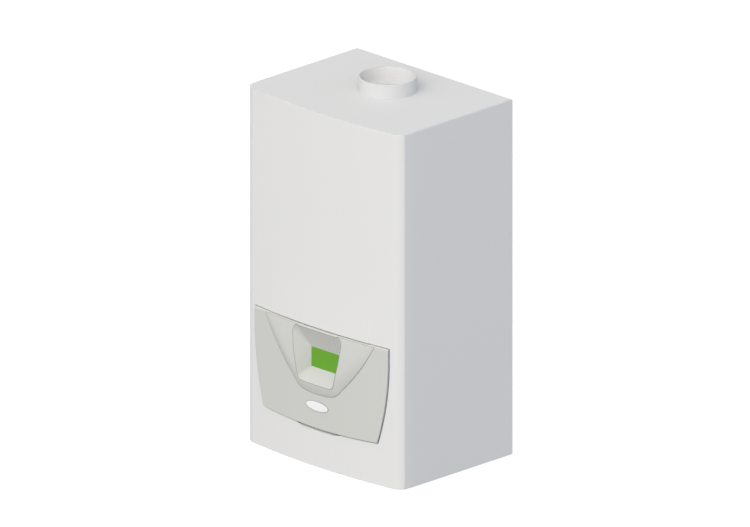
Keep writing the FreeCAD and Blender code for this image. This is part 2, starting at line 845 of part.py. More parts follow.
def control_door():
    depth = (CASING_D - FAR / 2, CASING_D + FAR / 2)
    tall = (0.0, DOOR_TOP + FAR)
    outer = front_prism(door_outline(), depth).common(bow_disc(DOOR_BOW, tall))
    outer = outer.cut(bow_disc(BOW_R - DOOR_RIM, tall))
    nose = nose_flanks(0.0).common(nose_region(0.0)).cut(bow_disc(BOW_R - 1, tall))
    inner = front_prism(grown(door_outline(), -DOOR_WALL), depth).common(bow_disc(BOW_R, tall))
    under_bar = block(around(0, CASING_W), depth, (0.0, DOOR_TOP - DOOR_WALL))
    nose_inner = nose_flanks(DOOR_WALL).common(nose_region(DOOR_WALL)).common(under_bar)
    shell = join([outer, nose]).cut([inner, nose_inner])
    walls = funnel(FUNNEL_WALL, 0.3, 0.0).common(nose_region(0.1)).common(under_bar)
    door = join([shell, walls] + hinge_lugs())
    notch_gap = HINGE_EAR_W / 2 + HINGE_EAR_GAP
    tools = [funnel(0.0, 0.3, 0.1), top_round()]
    tools.append(rod_x(HINGE_ROD_R + HINGE_PRESS_GAP, around(0, hinge_reach() + 1), HINGE_DEPTH, HINGE_Z))
    for ear in (-HINGE_EAR_X, HINGE_EAR_X):
        skin = bow_depth(HINGE_EAR_X, 0.0)
        tools.append(block(around(ear, notch_gap), (depth[0], skin), (HINGE_Z - HINGE_LUG_R, DOOR_TOP + 1)))
    return cut_all(door, tools)


def door_badge():
    """The blank oval plate on the door."""
    oval = Part.Ellipse(V(0, 0, 0), BADGE_W / 2, BADGE_H / 2).toShape()
    oval.rotate(V(0, 0, 0), X_AXIS, 90)
    oval.translate(V(0, 0, BADGE_Z))
    plate = front_prism(Part.Wire(oval), (CASING_D - FAR / 2, CASING_D + FAR / 2))
    tall = around(BADGE_Z, FAR)
    return plate.common(bow_disc(DOOR_BOW + BADGE_T, tall)).cut(bow_disc(DOOR_BOW, tall))


def hinge_rod():
    return rod_x(HINGE_ROD_R, around(0, hinge_reach()), HINGE_DEPTH, HINGE_Z)


# Chassis sheets

def wall_bracket():
    wide = around(0, BRACKET_HALF)
    lip = (BRACKET_LIP_Y, BRACKET_LIP_Y + BRACKET_T)
    plate = join([
        block(wide, (0, BRACKET_T), (BRACKET_LOW, BRACKET_SHELF)),
        block(wide, (0, lip[1]), (BRACKET_SHELF - BRACKET_T, BRACKET_SHELF)),
        block(wide, lip, (BRACKET_SHELF - BRACKET_T, BRACKET_LIP_TOP)),
    ])
    half = BRACKET_HOLE_SPACING / 2
    return cut_all(plate, [rod_y(BRACKET_HOLE_R, x, (-1, BRACKET_T + 1), HANG_Z) for x in (-half, half)])


def hanger_hook():
    wide = around(0, HOOK_HALF)
    roof = (BRACKET_LIP_TOP, BRACKET_LIP_TOP + BRACKET_T)
    tongue = BRACKET_LIP_Y - HOOK_TONGUE_GAP
    return join([
        block(wide, (BACK_STAND - BRACKET_T, BACK_STAND), (HOOK_LOW, roof[1])),
        block(wide, (tongue - BRACKET_T, BACK_STAND), roof),
        block(wide, (tongue - BRACKET_T, tongue), (HOOK_TONGUE_LOW, roof[1])),
    ])


def screw_places():
    """X and height of each screw through the rear flanges into the back panel."""
    rows = (PLATE_UNDER - REAR_FLANGE_H / 2, BASE_TOP + REAR_FLANGE_H / 2)
    return [(x, z) for z in rows for x in SCREW_XS]


def screw_holes():
    return [rod_y(SCREW_R + SCREW_GAP, x, (0, FLANGE_FACE + 1), z) for x, z in screw_places()]


def chassis_screws():
    screws = []
    for x, z in screw_places():
        head = rod_y(SCREW_HEAD_R, x, (FLANGE_FACE, FLANGE_FACE + SCREW_HEAD_H), z)
        screws.append(join([head, rod_y(SCREW_R, x, (FLANGE_FACE - SCREW_L, FLANGE_FACE + 1), z)]))
    return Part.makeCompound(screws)


def exchanger_bracket():
    """A sheet arm from the back panel to the heat exchanger's right side."""
    arm = (HX_BRACKET_X, HX_BRACKET_X + CHASSIS_T)
    front = (HX_BRACKET_FRONT - CHASSIS_T, HX_BRACKET_FRONT)
    return [
        block(arm, (BACK_FACE - CHASSIS_T / 2, HX_BRACKET_FRONT), HX_BRACKET_Z),
        block((HX_HALF, arm[1]), front, HX_BRACKET_Z),
        block((HX_HALF, HX_HALF + CHASSIS_T), (front[0], HX_BRACKET_FRONT + HX_TAB), HX_BRACKET_Z),
    ]


def back_panel():
    tall = (BACK_LOW, BACK_TOP)
    right = [
        block((BACK_HALF - CHASSIS_T, BACK_HALF), (0, BACK_FACE), tall),
        block((BACK_HALF - BACK_FOOT_W, BACK_HALF), (0, CHASSIS_T), tall),
    ] + exchanger_bracket()
    left = [mirrored(piece) for piece in right]
    web = block(around(0, BACK_HALF), (BACK_STAND, BACK_FACE), tall)
    return cut_all(join([web] + right + left), screw_holes())


def air_slots():
    """Curved slots in the top plate, inside the collar, that let combustion air in."""
    slots = []
    for start, sweep_angle in AIR_SLOT_ARCS:
        low = V(0, -FLUE_Y, PLATE_UNDER - 1)
        high = CHASSIS_T + 2
        slot = Part.makeCylinder(AIR_SLOT_R[1], high, low, Z_AXIS, sweep_angle)
        slot = slot.cut(Part.makeCylinder(AIR_SLOT_R[0], high, low, Z_AXIS))
        slot.rotate(V(0, -FLUE_Y, 0), Z_AXIS, start)
        slots.append(slot)
    return slots


def top_plate():
    sheet = plan_prism(SHEET + TOP_GAP, WALL_GAP, (PLATE_UNDER, CASING_H))
    wide = around(0, CASING_W / 2 - SHEET - FLANGE_W - CHASSIS_GAP)
    tall = (PLATE_UNDER - REAR_FLANGE_H, PLATE_UNDER + CHASSIS_T / 2)
    flange = block(wide, (BACK_FACE, FLANGE_FACE), tall)
    hole = rod_z(SOCKET_BORE_R + SOCKET_WALL + HOLE_GAP, 0, FLUE_Y, (PLATE_UNDER - 1, CASING_H + 1))
    return cut_all(join([sheet, flange]), [hole] + air_slots() + screw_holes())


def pipe_holes():
    """X, depth and radius of each hole that a pipe takes through the base plate."""
    return [
        (GAS_X, GAS_Y, GAS_PIPE_R),
        (DIVERTER_X, DIVERTER_Y, HEATING_PIPE_R),
        (PUMP_X, PUMP_Y, HEATING_PIPE_R),
        (TAP_PIPE_XS[0], DIVERTER_Y, TAP_PIPE_R),
        (TAP_PIPE_XS[1], DIVERTER_Y, TAP_PIPE_R),
        (DRAIN_X, DRAIN_Y, TRAP_OUT_R),
        (RELIEF_PIPE_X, PUMP_Y, RELIEF_PIPE_R),
    ]


def control_stand():
    """An upright of bent sheet from the base plate to the right underside of the control box."""
    wide = around(BOX_STAND_X, BOX_STAND_W / 2)
    front = BOX_BACK + BOX_STAND_D
    return [
        block(wide, (front, front + CHASSIS_T), (BASE_Z, BOX_Z[0])),
        block(wide, (BOX_BACK, front + CHASSIS_T), (BOX_Z[0] - CHASSIS_T, BOX_Z[0])),
    ]


def base_plate():
    wide = around(0, BACK_HALF - CHASSIS_T - CHASSIS_GAP)
    plate = block(wide, (BACK_FACE, BASE_FRONT), (BASE_Z, BASE_TOP))
    flange = block(wide, (BACK_FACE, FLANGE_FACE), (BASE_Z, BASE_TOP + REAR_FLANGE_H))
    tab_tall = (BASE_Z, CLIP_FOOT_Z + CLIP_TAB_LOW)
    tab = block(around(CLIP_FOOT_X, RAIL_W / 2), (BASE_FRONT, TAB_FRONT), tab_tall)
    right = [tab] + control_stand()
    left = [mirrored(piece) for piece in right]
    holes = []
    for x, depth, r in pipe_holes():
        holes.append(rod_z(r + HOLE_GAP, x, depth, (BASE_Z - 1, BASE_TOP + 1)))
    return cut_all(join([plate, flange] + right + left), holes + screw_holes())


def top_rails():
    wide = around(CLIP_X, RAIL_W / 2)
    low = PLATE_UNDER - RAIL_H
    inner = around(CLIP_X, RAIL_W / 2 - CHASSIS_T)
    channel = block(wide, (FLANGE_FACE, BASE_FRONT), (low, PLATE_UNDER))
    channel = channel.cut(block(inner, (0, CASING_D), (low - 1, PLATE_UNDER - CHASSIS_T)))
    screw_z = screw_places()[0][1]
    channel = channel.cut(rod_y(SCREW_HEAD_R + HOLE_GAP, CLIP_X, (0, FLANGE_FACE + FAR), screw_z))
    tab = block(wide, (BASE_FRONT, TAB_FRONT), (CLIP_TOP_Z - CLIP_TAB_LOW, PLATE_UNDER))
    rail = join([channel, tab])
    return Part.makeCompound([rail, mirrored(rail)])


def casing_clips():
    bore = STUD_BALL_R + CLIP_CLEARANCE
    clips = []
    for x, z in clip_places():
        clips.append(ring_y(bore + CLIP_WALL, CLIP_WALL, x, (TAB_FRONT, TAB_FRONT + CLIP_L), z))
    return Part.makeCompound(clips)


# Flue

def flue_collar():
    return ring_z(COLLAR_BORE_R + COLLAR_WALL, COLLAR_WALL, 0, FLUE_Y, (CASING_H, CASING_H + COLLAR_H))


def flue_socket():
    r = SOCKET_BORE_R + SOCKET_WALL
    tube = rod_z(r, 0, FLUE_Y, (SOCKET_LOW, CASING_H - SOCKET_DROP))
    flange = rod_z(r + SOCKET_FLANGE, 0, FLUE_Y, (PLATE_UNDER - CHASSIS_T, PLATE_UNDER))
    bores = [
        rod_z(SOCKET_BORE_R, 0, FLUE_Y, (SOCKET_LOW - 1, SHOULDER_Z)),
        rod_z(SOCKET_BORE_R - SHOULDER_W, 0, FLUE_Y, (SOCKET_LOW, CASING_H)),
        rod_z(SOCKET_BORE_R, 0, FLUE_Y, (SHOULDER_Z + SOCKET_WALL, CASING_H)),
    ]
    return cut_all(join([tube, flange]), bores)


def flue_pipe():
    return ring_z(SOCKET_BORE_R - FLUE_GAP, FLUE_WALL, 0, FLUE_Y, (HX_LOW - SUMP_WALL, SHOULDER_Z))


# Heat exchanger, burner and hood

def hood_stud_places():
    x = HX_HALF - HX_WALL / 2
    depths = (HX_BACK + HX_WALL / 2, HX_FRONT - HX_WALL / 2)
    return [(i, depth) for i in (-x, 0.0, x) for depth in depths]


def hood_stud_holes():
    z = (HX_TOP - HOOD_STUD_DEPTH - 1, HOOD_TOP + 1)
    return [rod_z(HOOD_STUD_R + STUD_HOLE_GAP, x, depth, z) for x, depth in hood_stud_places()]


def heat_exchanger():
    body = block(around(0, HX_HALF), (HX_BACK, HX_FRONT), (HX_LOW, HX_TOP))
    parts = [body]
    pitch = (HX_TOP - HX_LOW - HX_WALL) / HX_RIBS
    for i in range(HX_RIBS):
        z = HX_LOW + HX_WALL + pitch * i
        rib = block(around(0, HX_HALF - HX_WALL), (HX_FRONT - 1, HX_FRONT + HX_RIB_T), (z, z + HX_RIB_H))
        parts.append(rib)
    port = WATER_PIPE_R + PORT_WALL
    parts.append(rod_x(port, (HX_HALF - 1, HX_HALF + PORT_L), HX_MID, HX_RETURN_Z))
    parts.append(rod_x(port, (-HX_HALF - PORT_L, -HX_HALF + 1), HX_MID, HX_FLOW_Z))
    inside = around(HX_MID, HX_D / 2 - HX_WALL)
    half = HX_HALF - HX_WALL
    tools = [block(around(0, half), inside, (HX_CHAMBER_LOW, HX_TOP + 1))]
    step = 2 * half / HX_SLOTS
    for i in range(HX_SLOTS):
        x = around(-half + step * (i + 0.5), HX_SLOT_W / 2)
        tools.append(block(x, inside, (HX_LOW - 1, HX_CHAMBER_LOW + 1)))
    bore = WATER_PIPE_R - PIPE_WALL
    tools.append(rod_x(bore, (HX_HALF - HX_WALL / 2, HX_HALF + FAR), HX_MID, HX_RETURN_Z))
    tools.append(rod_x(bore, (-HX_HALF - FAR, -HX_HALF + HX_WALL / 2), HX_MID, HX_FLOW_Z))
    tools.append(rod_x(VENT_STUB_R, (HX_HALF - HX_WALL / 2, HX_HALF + 1), HX_MID, VENT_Z[0] + VENT_R))
    return cut_all(join(parts), tools + hood_stud_holes())


def hood_gasket():
    z = (HX_TOP, HOOD_LOW)
    sheet = block(around(0, HX_HALF), (HX_BACK, HX_FRONT), z)
    hole = block(around(0, HX_HALF - HX_WALL), around(HX_MID, HX_D / 2 - HX_WALL), (z[0] - 1, z[1] + 1))
    return cut_all(sheet, [hole] + hood_stud_holes())


def hood_box(inset, z):
    x = (HOOD_BOX_X[0] + inset, HOOD_BOX_X[1])
    return block(x, (FAN_BACK + inset, FAN_FRONT - inset), z)


def burner_hood():
    plate = block(around(0, HX_HALF), (HX_BACK, HX_FRONT), (HOOD_LOW, HOOD_TOP))
    feed = (HOOD_BOX_X[0] + FEED_INSET, HOOD_BOX_X[1] - FEED_INSET)
    tools = [
        hood_box(HOOD_BOX_WALL, (HOOD_TOP, HOOD_BOX_TOP - HOOD_BOX_WALL)),
        block(feed, (FAN_BACK + FEED_INSET, FAN_FRONT - FEED_INSET), (HOOD_LOW - 1, HOOD_TOP + 1)),
        rod_z(ELECTRODE_R + FIT_GAP, ELECTRODE_X, ELECTRODE_Y, (HOOD_LOW - 1, HOOD_TOP + 1)),
    ]
    whole = join([plate, hood_box(0.0, (HOOD_TOP - 1, HOOD_BOX_TOP))])
    return cut_all(whole, tools + hood_stud_holes())


def burner():
    depth = around(HX_MID, HX_D / 2 - HX_WALL - BURNER_INSET)
    low = HOOD_LOW - BURNER_H
    tray = block(around(0, BURNER_HALF), depth, (low, HOOD_LOW))
    inside = (depth[0] + BURNER_WALL, depth[1] - BURNER_WALL)
    half = BURNER_HALF - BURNER_WALL
    tools = [block(around(0, half), inside, (low + BURNER_WALL, HOOD_LOW + 1))]
    step = 2 * half / BURNER_SLOTS
    for i in range(BURNER_SLOTS):
        x = around(-half + step * (i + 0.5), BURNER_SLOT_W / 2)
        deep = (inside[0] + BURNER_INSET, inside[1] - BURNER_INSET)
        tools.append(block(x, deep, (low - 1, low + BURNER_WALL + 1)))
    return cut_all(tray, tools)


def hood_nuts():
    studs = []
    for x, depth in hood_stud_places():
        corners = []
        for i in range(7):
            turn = math.radians(60 * i)
            corners.append(V(x + NUT_R * math.cos(turn), -depth + NUT_R * math.sin(turn), HOOD_TOP))
        nut = Part.Face(Part.makePolygon(corners)).extrude(V(0, 0, NUT_H))
        low = HX_TOP - HOOD_STUD_DEPTH
        studs.append(join([nut, rod_z(HOOD_STUD_R, x, depth, (low, low + HOOD_STUD_L))]))
    return Part.makeCompound(studs)


def ignition_electrode():
    ceramic = rod_z(ELECTRODE_R, ELECTRODE_X, ELECTRODE_Y, (HX_TOP - ELECTRODE_FLANGE_R, ELECTRODE_TOP))
    flange = rod_z(ELECTRODE_FLANGE_R, ELECTRODE_X, ELECTRODE_Y, (HOOD_TOP, HOOD_TOP + ELECTRODE_FLANGE_T))
    tip = rod_z(ELECTRODE_TIP_R, ELECTRODE_X, ELECTRODE_Y, (ELECTRODE_LOW, HX_TOP))
    return join([ceramic, flange, tip])


# Fan and gas line

def fan_housing():
    front = (FAN_BACK, FAN_FRONT)
    hollow = (FAN_BACK + FAN_WALL, FAN_FRONT - FAN_WALL)
    duct = block((HOOD_BOX_X[1], FAN_X), front, FAN_DUCT_Z)
    inner_z = (FAN_DUCT_Z[0] + FAN_WALL, FAN_DUCT_Z[1] - FAN_WALL)
    tools = [
        rod_y(FAN_R - FAN_WALL, FAN_X, hollow, FAN_Z),
        block((HOOD_BOX_X[1] - 1, FAN_X), hollow, inner_z),
        rod_y(FAN_INLET_R, FAN_X, (hollow[1] - 1, FAN_FRONT + 1), FAN_Z),
        rod_y(FAN_SHAFT_R + HOLE_GAP, FAN_X, (FAN_BACK - 1, hollow[0] + 1), FAN_Z),
    ]
    return cut_all(join([rod_y(FAN_R, FAN_X, front, FAN_Z), duct]), tools)


def fan_motor():
    body = rod_y(FAN_MOTOR_R, FAN_X, (FAN_BACK - FAN_MOTOR_L, FAN_BACK), FAN_Z)
    bore = rod_y(FAN_SHAFT_R + RUN_GAP, FAN_X, (FAN_BACK - FAN_MOTOR_L + FAN_WALL, FAN_BACK + 1), FAN_Z)
    return body.cut(bore)


def fan_impeller():
    back = FAN_BACK + FAN_WALL + FAN_WHEEL_GAP
    front = FAN_FRONT - FAN_WALL - FAN_WHEEL_GAP
    parts = [
        rod_y(FAN_WHEEL_R, FAN_X, (back, back + FAN_BLADE_T), FAN_Z),
        rod_y(2 * FAN_SHAFT_R, FAN_X, (back, back + FAN_D / 3), FAN_Z),
        rod_y(FAN_SHAFT_R, FAN_X, (FAN_BACK - FAN_MOTOR_L + 2 * FAN_WALL, back + 1), FAN_Z),
        ring_y(FAN_WHEEL_R, FAN_WHEEL_R - FAN_BLADE_INNER, FAN_X, (front - FAN_BLADE_T, front), FAN_Z),
    ]
    for i in range(FAN_BLADES):
        reach = (FAN_X + FAN_BLADE_INNER + FAN_BLADE_T, FAN_X + FAN_WHEEL_R - FAN_BLADE_T)
        deep = (back + FAN_BLADE_T / 2, front - FAN_BLADE_T / 2)
        blade = block(reach, deep, around(FAN_Z, FAN_BLADE_T / 2))
        blade.rotate(V(FAN_X, 0, FAN_Z), Y_AXIS, 360.0 / FAN_BLADES * i)
        parts.append(blade)
    return join(parts)


def venturi():
    depth = (FAN_FRONT, FAN_FRONT + VENTURI_L)
    middle = FAN_FRONT + VENTURI_L / 2
    body = join([
        rod_y(VENTURI_R, FAN_X, depth, FAN_Z),
        rod_x(GAS_FEED_R + PORT_WALL / 2, (VENTURI_PORT_X, FAN_X), middle, FAN_Z),
    ])
    half = VENTURI_L / 2
    mouth = Part.makeCone(VENTURI_MOUTH_R, VENTURI_THROAT_R, half, V(FAN_X, -depth[1], FAN_Z), Y_AXIS)
    tail = Part.makeCone(VENTURI_THROAT_R, VENTURI_MOUTH_R, half, V(FAN_X, -middle, FAN_Z), Y_AXIS)
    port = rod_x(GAS_FEED_R - PIPE_WALL, (VENTURI_PORT_X - 1, FAN_X), middle, FAN_Z)
    return cut_all(body, [mouth, tail, port])


def gas_valve():
    depth = around(GAS_Y, GAS_VALVE_D / 2)
    low = GAS_VALVE_Z[0]
    out_x = GAS_VALVE_X[1]
    parts = [
        block(GAS_VALVE_X, depth, GAS_VALVE_Z),
        rod_z(GAS_PIPE_R + PIPE_WALL, GAS_X, GAS_Y, (low - GAS_BOSS_L, low + 1)),
        rod_x(GAS_FEED_R + PORT_WALL / 2, (out_x - 1, out_x + GAS_OUT_L), GAS_Y, GAS_OUT_Z),
    ]
    for x in GAS_COIL_XS:
        parts.append(rod_y(GAS_COIL_R, x, (depth[1] - 1, depth[1] + GAS_COIL_L), GAS_COIL_Z))
    tools = [
        rod_z(GAS_PIPE_R - PIPE_WALL, GAS_X, GAS_Y, (low - GAS_BOSS_L - 1, GAS_OUT_Z)),
        rod_x(GAS_FEED_R - PIPE_WALL, (GAS_X, out_x + GAS_OUT_L + 1), GAS_Y, GAS_OUT_Z),
    ]
    return cut_all(join(parts), tools)


def gas_feed_pipe():
    start = GAS_VALVE_X[1] + GAS_OUT_L
    depth = FAN_FRONT + VENTURI_L / 2
    clear = 2 * GAS_FEED_BEND
    route = [
        (start, GAS_Y, GAS_OUT_Z),
        (start + clear, GAS_Y, GAS_OUT_Z),
        (start + 2 * clear, depth, GAS_OUT_Z),
        (VENTURI_PORT_X - clear, depth, FAN_Z),
        (VENTURI_PORT_X, depth, FAN_Z),
    ]
    return sweep(route, GAS_FEED_R, GAS_FEED_BEND, PIPE_WALL)


def tail_pipe(r, x, depth, top):
    """An upright pipe that ends below the casing, with a union ring above its free end."""
    pipe = join([rod_z(r, x, depth, (STUB_LOW, top)), rod_z(r + UNION_W, x, depth, UNION_Z)])
    return pipe.cut(rod_z(r - PIPE_WALL, x, depth, (STUB_LOW - 1, top + 1)))


def gas_supply_pipe():
    return tail_pipe(GAS_PIPE_R, GAS_X, GAS_Y, GAS_VALVE_Z[0] - GAS_BOSS_L)


# Condensate

def condensate_sump():
    spigot = SOCKET_BORE_R + SPIGOT_WALL
    wide = around(0, SUMP_HALF)
    inside = around(0, SUMP_HALF - SUMP_WALL)
    parts = [
        block(wide, (SUMP_BACK, SUMP_FRONT), (SUMP_LOW, HX_LOW)),
        rod_z(spigot, 0, FLUE_Y, (HX_LOW - 1, HX_LOW + SPIGOT_H)),
        rod_z(DRAIN_R, DRAIN_X, DRAIN_Y, (DRAIN_LOW, SUMP_LOW + 1)),
    ]
    hollow = (SUMP_LOW + SUMP_WALL, HX_LOW - SUMP_WALL)
    tools = [
        block(inside, (SUMP_BACK + SUMP_WALL, SUMP_FRONT - SUMP_WALL), hollow),
        block(inside, (HX_BACK + SUMP_WALL, SUMP_FRONT - SUMP_WALL), (hollow[1] - 1, HX_LOW + 1)),
        rod_z(SOCKET_BORE_R, 0, FLUE_Y, (hollow[1] - 1, HX_LOW + SPIGOT_H + 1)),
        rod_z(DRAIN_R - DRAIN_WALL, DRAIN_X, DRAIN_Y, (DRAIN_LOW - 1, hollow[0] + 1)),
    ]
    return cut_all(join(parts), tools)


def condensate_trap():
    cup = rod_z(TRAP_R, DRAIN_X, DRAIN_Y, (TRAP_LOW, TRAP_TOP))
    tail = rod_z(TRAP_OUT_R, DRAIN_X, DRAIN_Y, (STUB_LOW, TRAP_LOW + 1))
    union = rod_z(TRAP_OUT_R + UNION_W, DRAIN_X, DRAIN_Y, UNION_Z)
    inside = (TRAP_LOW + TRAP_WALL, DRAIN_LOW - TRAP_WALL / 2)
    tools = [
        rod_z(TRAP_R - TRAP_WALL, DRAIN_X, DRAIN_Y, inside),
        rod_z(DRAIN_R + TRAP_FIT_GAP, DRAIN_X, DRAIN_Y, (inside[1] - 1, TRAP_TOP + 1)),
        rod_z(TRAP_OUT_R - TRAP_WALL, DRAIN_X, DRAIN_Y, (STUB_LOW - 1, inside[0] + 1)),
    ]
    return cut_all(join([cup, tail, union]), tools)


# Water

def pump_body():
    depth = (PUMP_BACK, PUMP_FRONT)
    inside = (PUMP_BACK + PUMP_WALL, PUMP_FRONT - PUMP_WALL)
    parts = [
        rod_y(PUMP_R, PUMP_X, depth, PUMP_Z),
        rod_z(PUMP_PORT_R, PUMP_X, PUMP_Y, (PUMP_PORT_LOW, PUMP_PORT_TOP)),
        rod_z(VESSEL_PIPE_R + PORT_WALL, VESSEL_PORT_X, PUMP_Y, (PUMP_Z, VESSEL_PUMP_TOP)),
        rod_z(RELIEF_R, RELIEF_X, PUMP_Y, (PUMP_Z, RELIEF_Z[0])),
        block(around(PUMP_X, PUMP_FOOT_HALF), (BACK_FACE, PUMP_BACK + 1), around(PUMP_Z, PUMP_FOOT_H / 2)),
    ]
    tools = [
        rod_y(PUMP_R - PUMP_WALL, PUMP_X, inside, PUMP_Z),
        rod_z(WATER_PIPE_R - PIPE_WALL, PUMP_X, PUMP_Y, (PUMP_PORT_LOW - 1, PUMP_PORT_TOP + 1)),
        rod_z(VESSEL_PIPE_R - PIPE_WALL, VESSEL_PORT_X, PUMP_Y, (PUMP_Z, VESSEL_PUMP_TOP + 1)),
        rod_z(VESSEL_PIPE_R, RELIEF_X, PUMP_Y, (PUMP_Z, RELIEF_Z[0] + 1)),
        rod_y(PUMP_SHAFT_R + HOLE_GAP, PUMP_X, (inside[1] - 1, PUMP_FRONT + 1), PUMP_Z),
    ]
    return cut_all(join(parts), tools)


def pump_motor():
    body = rod_y(PUMP_MOTOR_R, PUMP_X, (PUMP_FRONT, PUMP_MOTOR_FRONT), PUMP_Z)
    cap = rod_y(PUMP_CAP_R, PUMP_X, (PUMP_MOTOR_FRONT - 1, PUMP_MOTOR_FRONT + PUMP_CAP_L), PUMP_Z)
    end = PUMP_FRONT + PUMP_SHAFT_DEPTH + 1
    return join([body, cap]).cut(rod_y(PUMP_SHAFT_R + RUN_GAP, PUMP_X, (PUMP_FRONT - 1, end), PUMP_Z))


def pump_impeller():
    middle = around(PUMP_Y, PUMP_D / 5)
    parts = [
        rod_y(PUMP_WHEEL_R, PUMP_X, (middle[1] - PUMP_BLADE_T, middle[1]), PUMP_Z),
        rod_y(2 * PUMP_SHAFT_R, PUMP_X, middle, PUMP_Z),
        rod_y(PUMP_SHAFT_R, PUMP_X, (middle[0], PUMP_FRONT + PUMP_SHAFT_DEPTH), PUMP_Z),
    ]
    for i in range(PUMP_BLADES):
        blade = block((PUMP_X, PUMP_X + PUMP_WHEEL_R - 1), middle, around(PUMP_Z, PUMP_BLADE_T / 2))
        blade.rotate(V(PUMP_X, 0, PUMP_Z), Y_AXIS, 360.0 / PUMP_BLADES * i)
        parts.append(blade)
    return join(parts)


def pump_outlet_pipe():
    clear = PUMP_PORT_R + WATER_PIPE_R + PORT_WALL
    route = [
        (PUMP_X, PUMP_Y, PUMP_PORT_TOP),
        (PUMP_X, PUMP_Y, BOX_Z[1] - 2 * WATER_BEND),
        (HX_HALF + PORT_L + clear, HX_MID, SUMP_LOW + WATER_BEND),
        (HX_HALF + PORT_L + clear, HX_MID, HX_RETURN_Z),
        (HX_HALF + PORT_L, HX_MID, HX_RETURN_Z),
    ]
    return sweep(route, WATER_PIPE_R, WATER_BEND, PIPE_WALL)


def diverter_valve():
    right = PLATE_X[0]
    parts = [
        rod_z(DIVERTER_R, DIVERTER_X, DIVERTER_Y, DIVERTER_Z),
        rod_z(HEATING_PIPE_R + PIPE_WALL, DIVERTER_X, DIVERTER_Y, (DIVERTER_FOOT, DIVERTER_Z[0] + 1)),
        rod_x(WATER_PIPE_R + PIPE_WALL, (DIVERTER_PORT_X, right), DIVERTER_Y, DIVERTER_PORT_Z),
    ]
    bore = WATER_PIPE_R - PIPE_WALL
    tools = [
        rod_z(bore, DIVERTER_X, DIVERTER_Y, (DIVERTER_FOOT - 1, DIVERTER_PORT_Z)),
        rod_x(bore, (DIVERTER_PORT_X - 1, right + 1), DIVERTER_Y, DIVERTER_PORT_Z),
    ]
    return cut_all(join(parts), tools)


def diverter_actuator():
    z = (DIVERTER_Z[1], DIVERTER_Z[1] + ACTUATOR_H)
    head = block(around(DIVERTER_X, ACTUATOR_HALF), around(DIVERTER_Y, ACTUATOR_D / 2), z)
    upright = [edge for edge in head.Edges if abs(edge.tangentAt(edge.FirstParameter).z) > 0.9]
    return head.makeFillet(ACTUATOR_HALF / 3, upright)


def flow_pipe():
    x = -HX_HALF - PORT_L - WATER_BEND - 1
    turn = DIVERTER_PORT_X - WATER_BEND - WATER_PIPE_R
    route = [
        (-HX_HALF - PORT_L, HX_MID, HX_FLOW_Z),
        (x, HX_MID, HX_FLOW_Z),
        (x, HX_MID, BOX_Z[1] - 2 * WATER_BEND),
        (turn, DIVERTER_Y, DIVERTER_Z[1] + 2 * WATER_BEND),
        (turn, DIVERTER_Y, DIVERTER_PORT_Z),
        (DIVERTER_PORT_X, DIVERTER_Y, DIVERTER_PORT_Z),
    ]
    return sweep(route, WATER_PIPE_R, WATER_BEND, PIPE_WALL)


def plate_exchanger():
    depth = (PLATE_BACK, PLATE_BACK + PLATE_D)
    stack = block(PLATE_X, depth, PLATE_Z)
    core_x = (PLATE_X[0] + PLATE_GROOVE_D, PLATE_X[1] - PLATE_GROOVE_D)
    core = block(core_x, depth, (PLATE_Z[0] + PLATE_GROOVE_D, PLATE_Z[1] - PLATE_GROOVE_D))
    step = PLATE_D / (PLATE_GROOVES + 1)
    grooves = []
    for i in range(PLATE_GROOVES):
        middle = PLATE_BACK + step * (i + 1)
        grooves.append(block((PLATE_X[0] - 1, PLATE_X[1] + 1), around(middle, PLATE_GROOVE_W / 2),
                             (PLATE_Z[0] - 1, PLATE_Z[1] + 1)))
    parts = [stack.cut(grooves), core]
    parts.append(block(PLATE_FOOT_X, (BACK_FACE, PLATE_BACK + 1), PLATE_FOOT_Z))
    for x in TAP_PIPE_XS:
        port = (PLATE_Z[0] - PLATE_PORT_L, PLATE_Z[0] + FAR / 2)
        parts.append(rod_z(TAP_PIPE_R + PIPE_WALL, x, DIVERTER_Y, port))
    bore = TAP_PIPE_R - PIPE_WALL
    z = (PLATE_Z[0] - PLATE_PORT_L - 1, PLATE_Z[0] + FAR / 3)
    return cut_all(join(parts), [rod_z(bore, x, DIVERTER_Y, z) for x in TAP_PIPE_XS])


def connection_pipes():
    """Pipe ends below the casing: heating return and flow, then hot and cold tap water."""
    tap_top = PLATE_Z[0] - PLATE_PORT_L
    pipes = [
        tail_pipe(HEATING_PIPE_R, PUMP_X, PUMP_Y, PUMP_PORT_LOW),
        tail_pipe(HEATING_PIPE_R, DIVERTER_X, DIVERTER_Y, DIVERTER_FOOT),
    ]
    for x in TAP_PIPE_XS:
        pipes.append(tail_pipe(TAP_PIPE_R, x, DIVERTER_Y, tap_top))
    return Part.makeCompound(pipes)


def relief_valve():
    body = join([
        rod_z(RELIEF_R, RELIEF_X, PUMP_Y, RELIEF_Z),
        rod_x(RELIEF_PIPE_R + PIPE_WALL, (RELIEF_X, RELIEF_OUT_X), PUMP_Y, RELIEF_OUT_Z),
    ])
    tools = [
        rod_z(KNOB_SPINDLE_R + RUN_GAP, RELIEF_X, PUMP_Y, (RELIEF_OUT_Z, RELIEF_Z[1] + 1)),
        rod_x(RELIEF_PIPE_R - PIPE_WALL, (RELIEF_X, RELIEF_OUT_X + 1), PUMP_Y, RELIEF_OUT_Z),
        rod_z(RELIEF_PIPE_R - PIPE_WALL, RELIEF_X, PUMP_Y, (RELIEF_Z[0] - 1, RELIEF_OUT_Z)),
    ]
    return cut_all(body, tools)


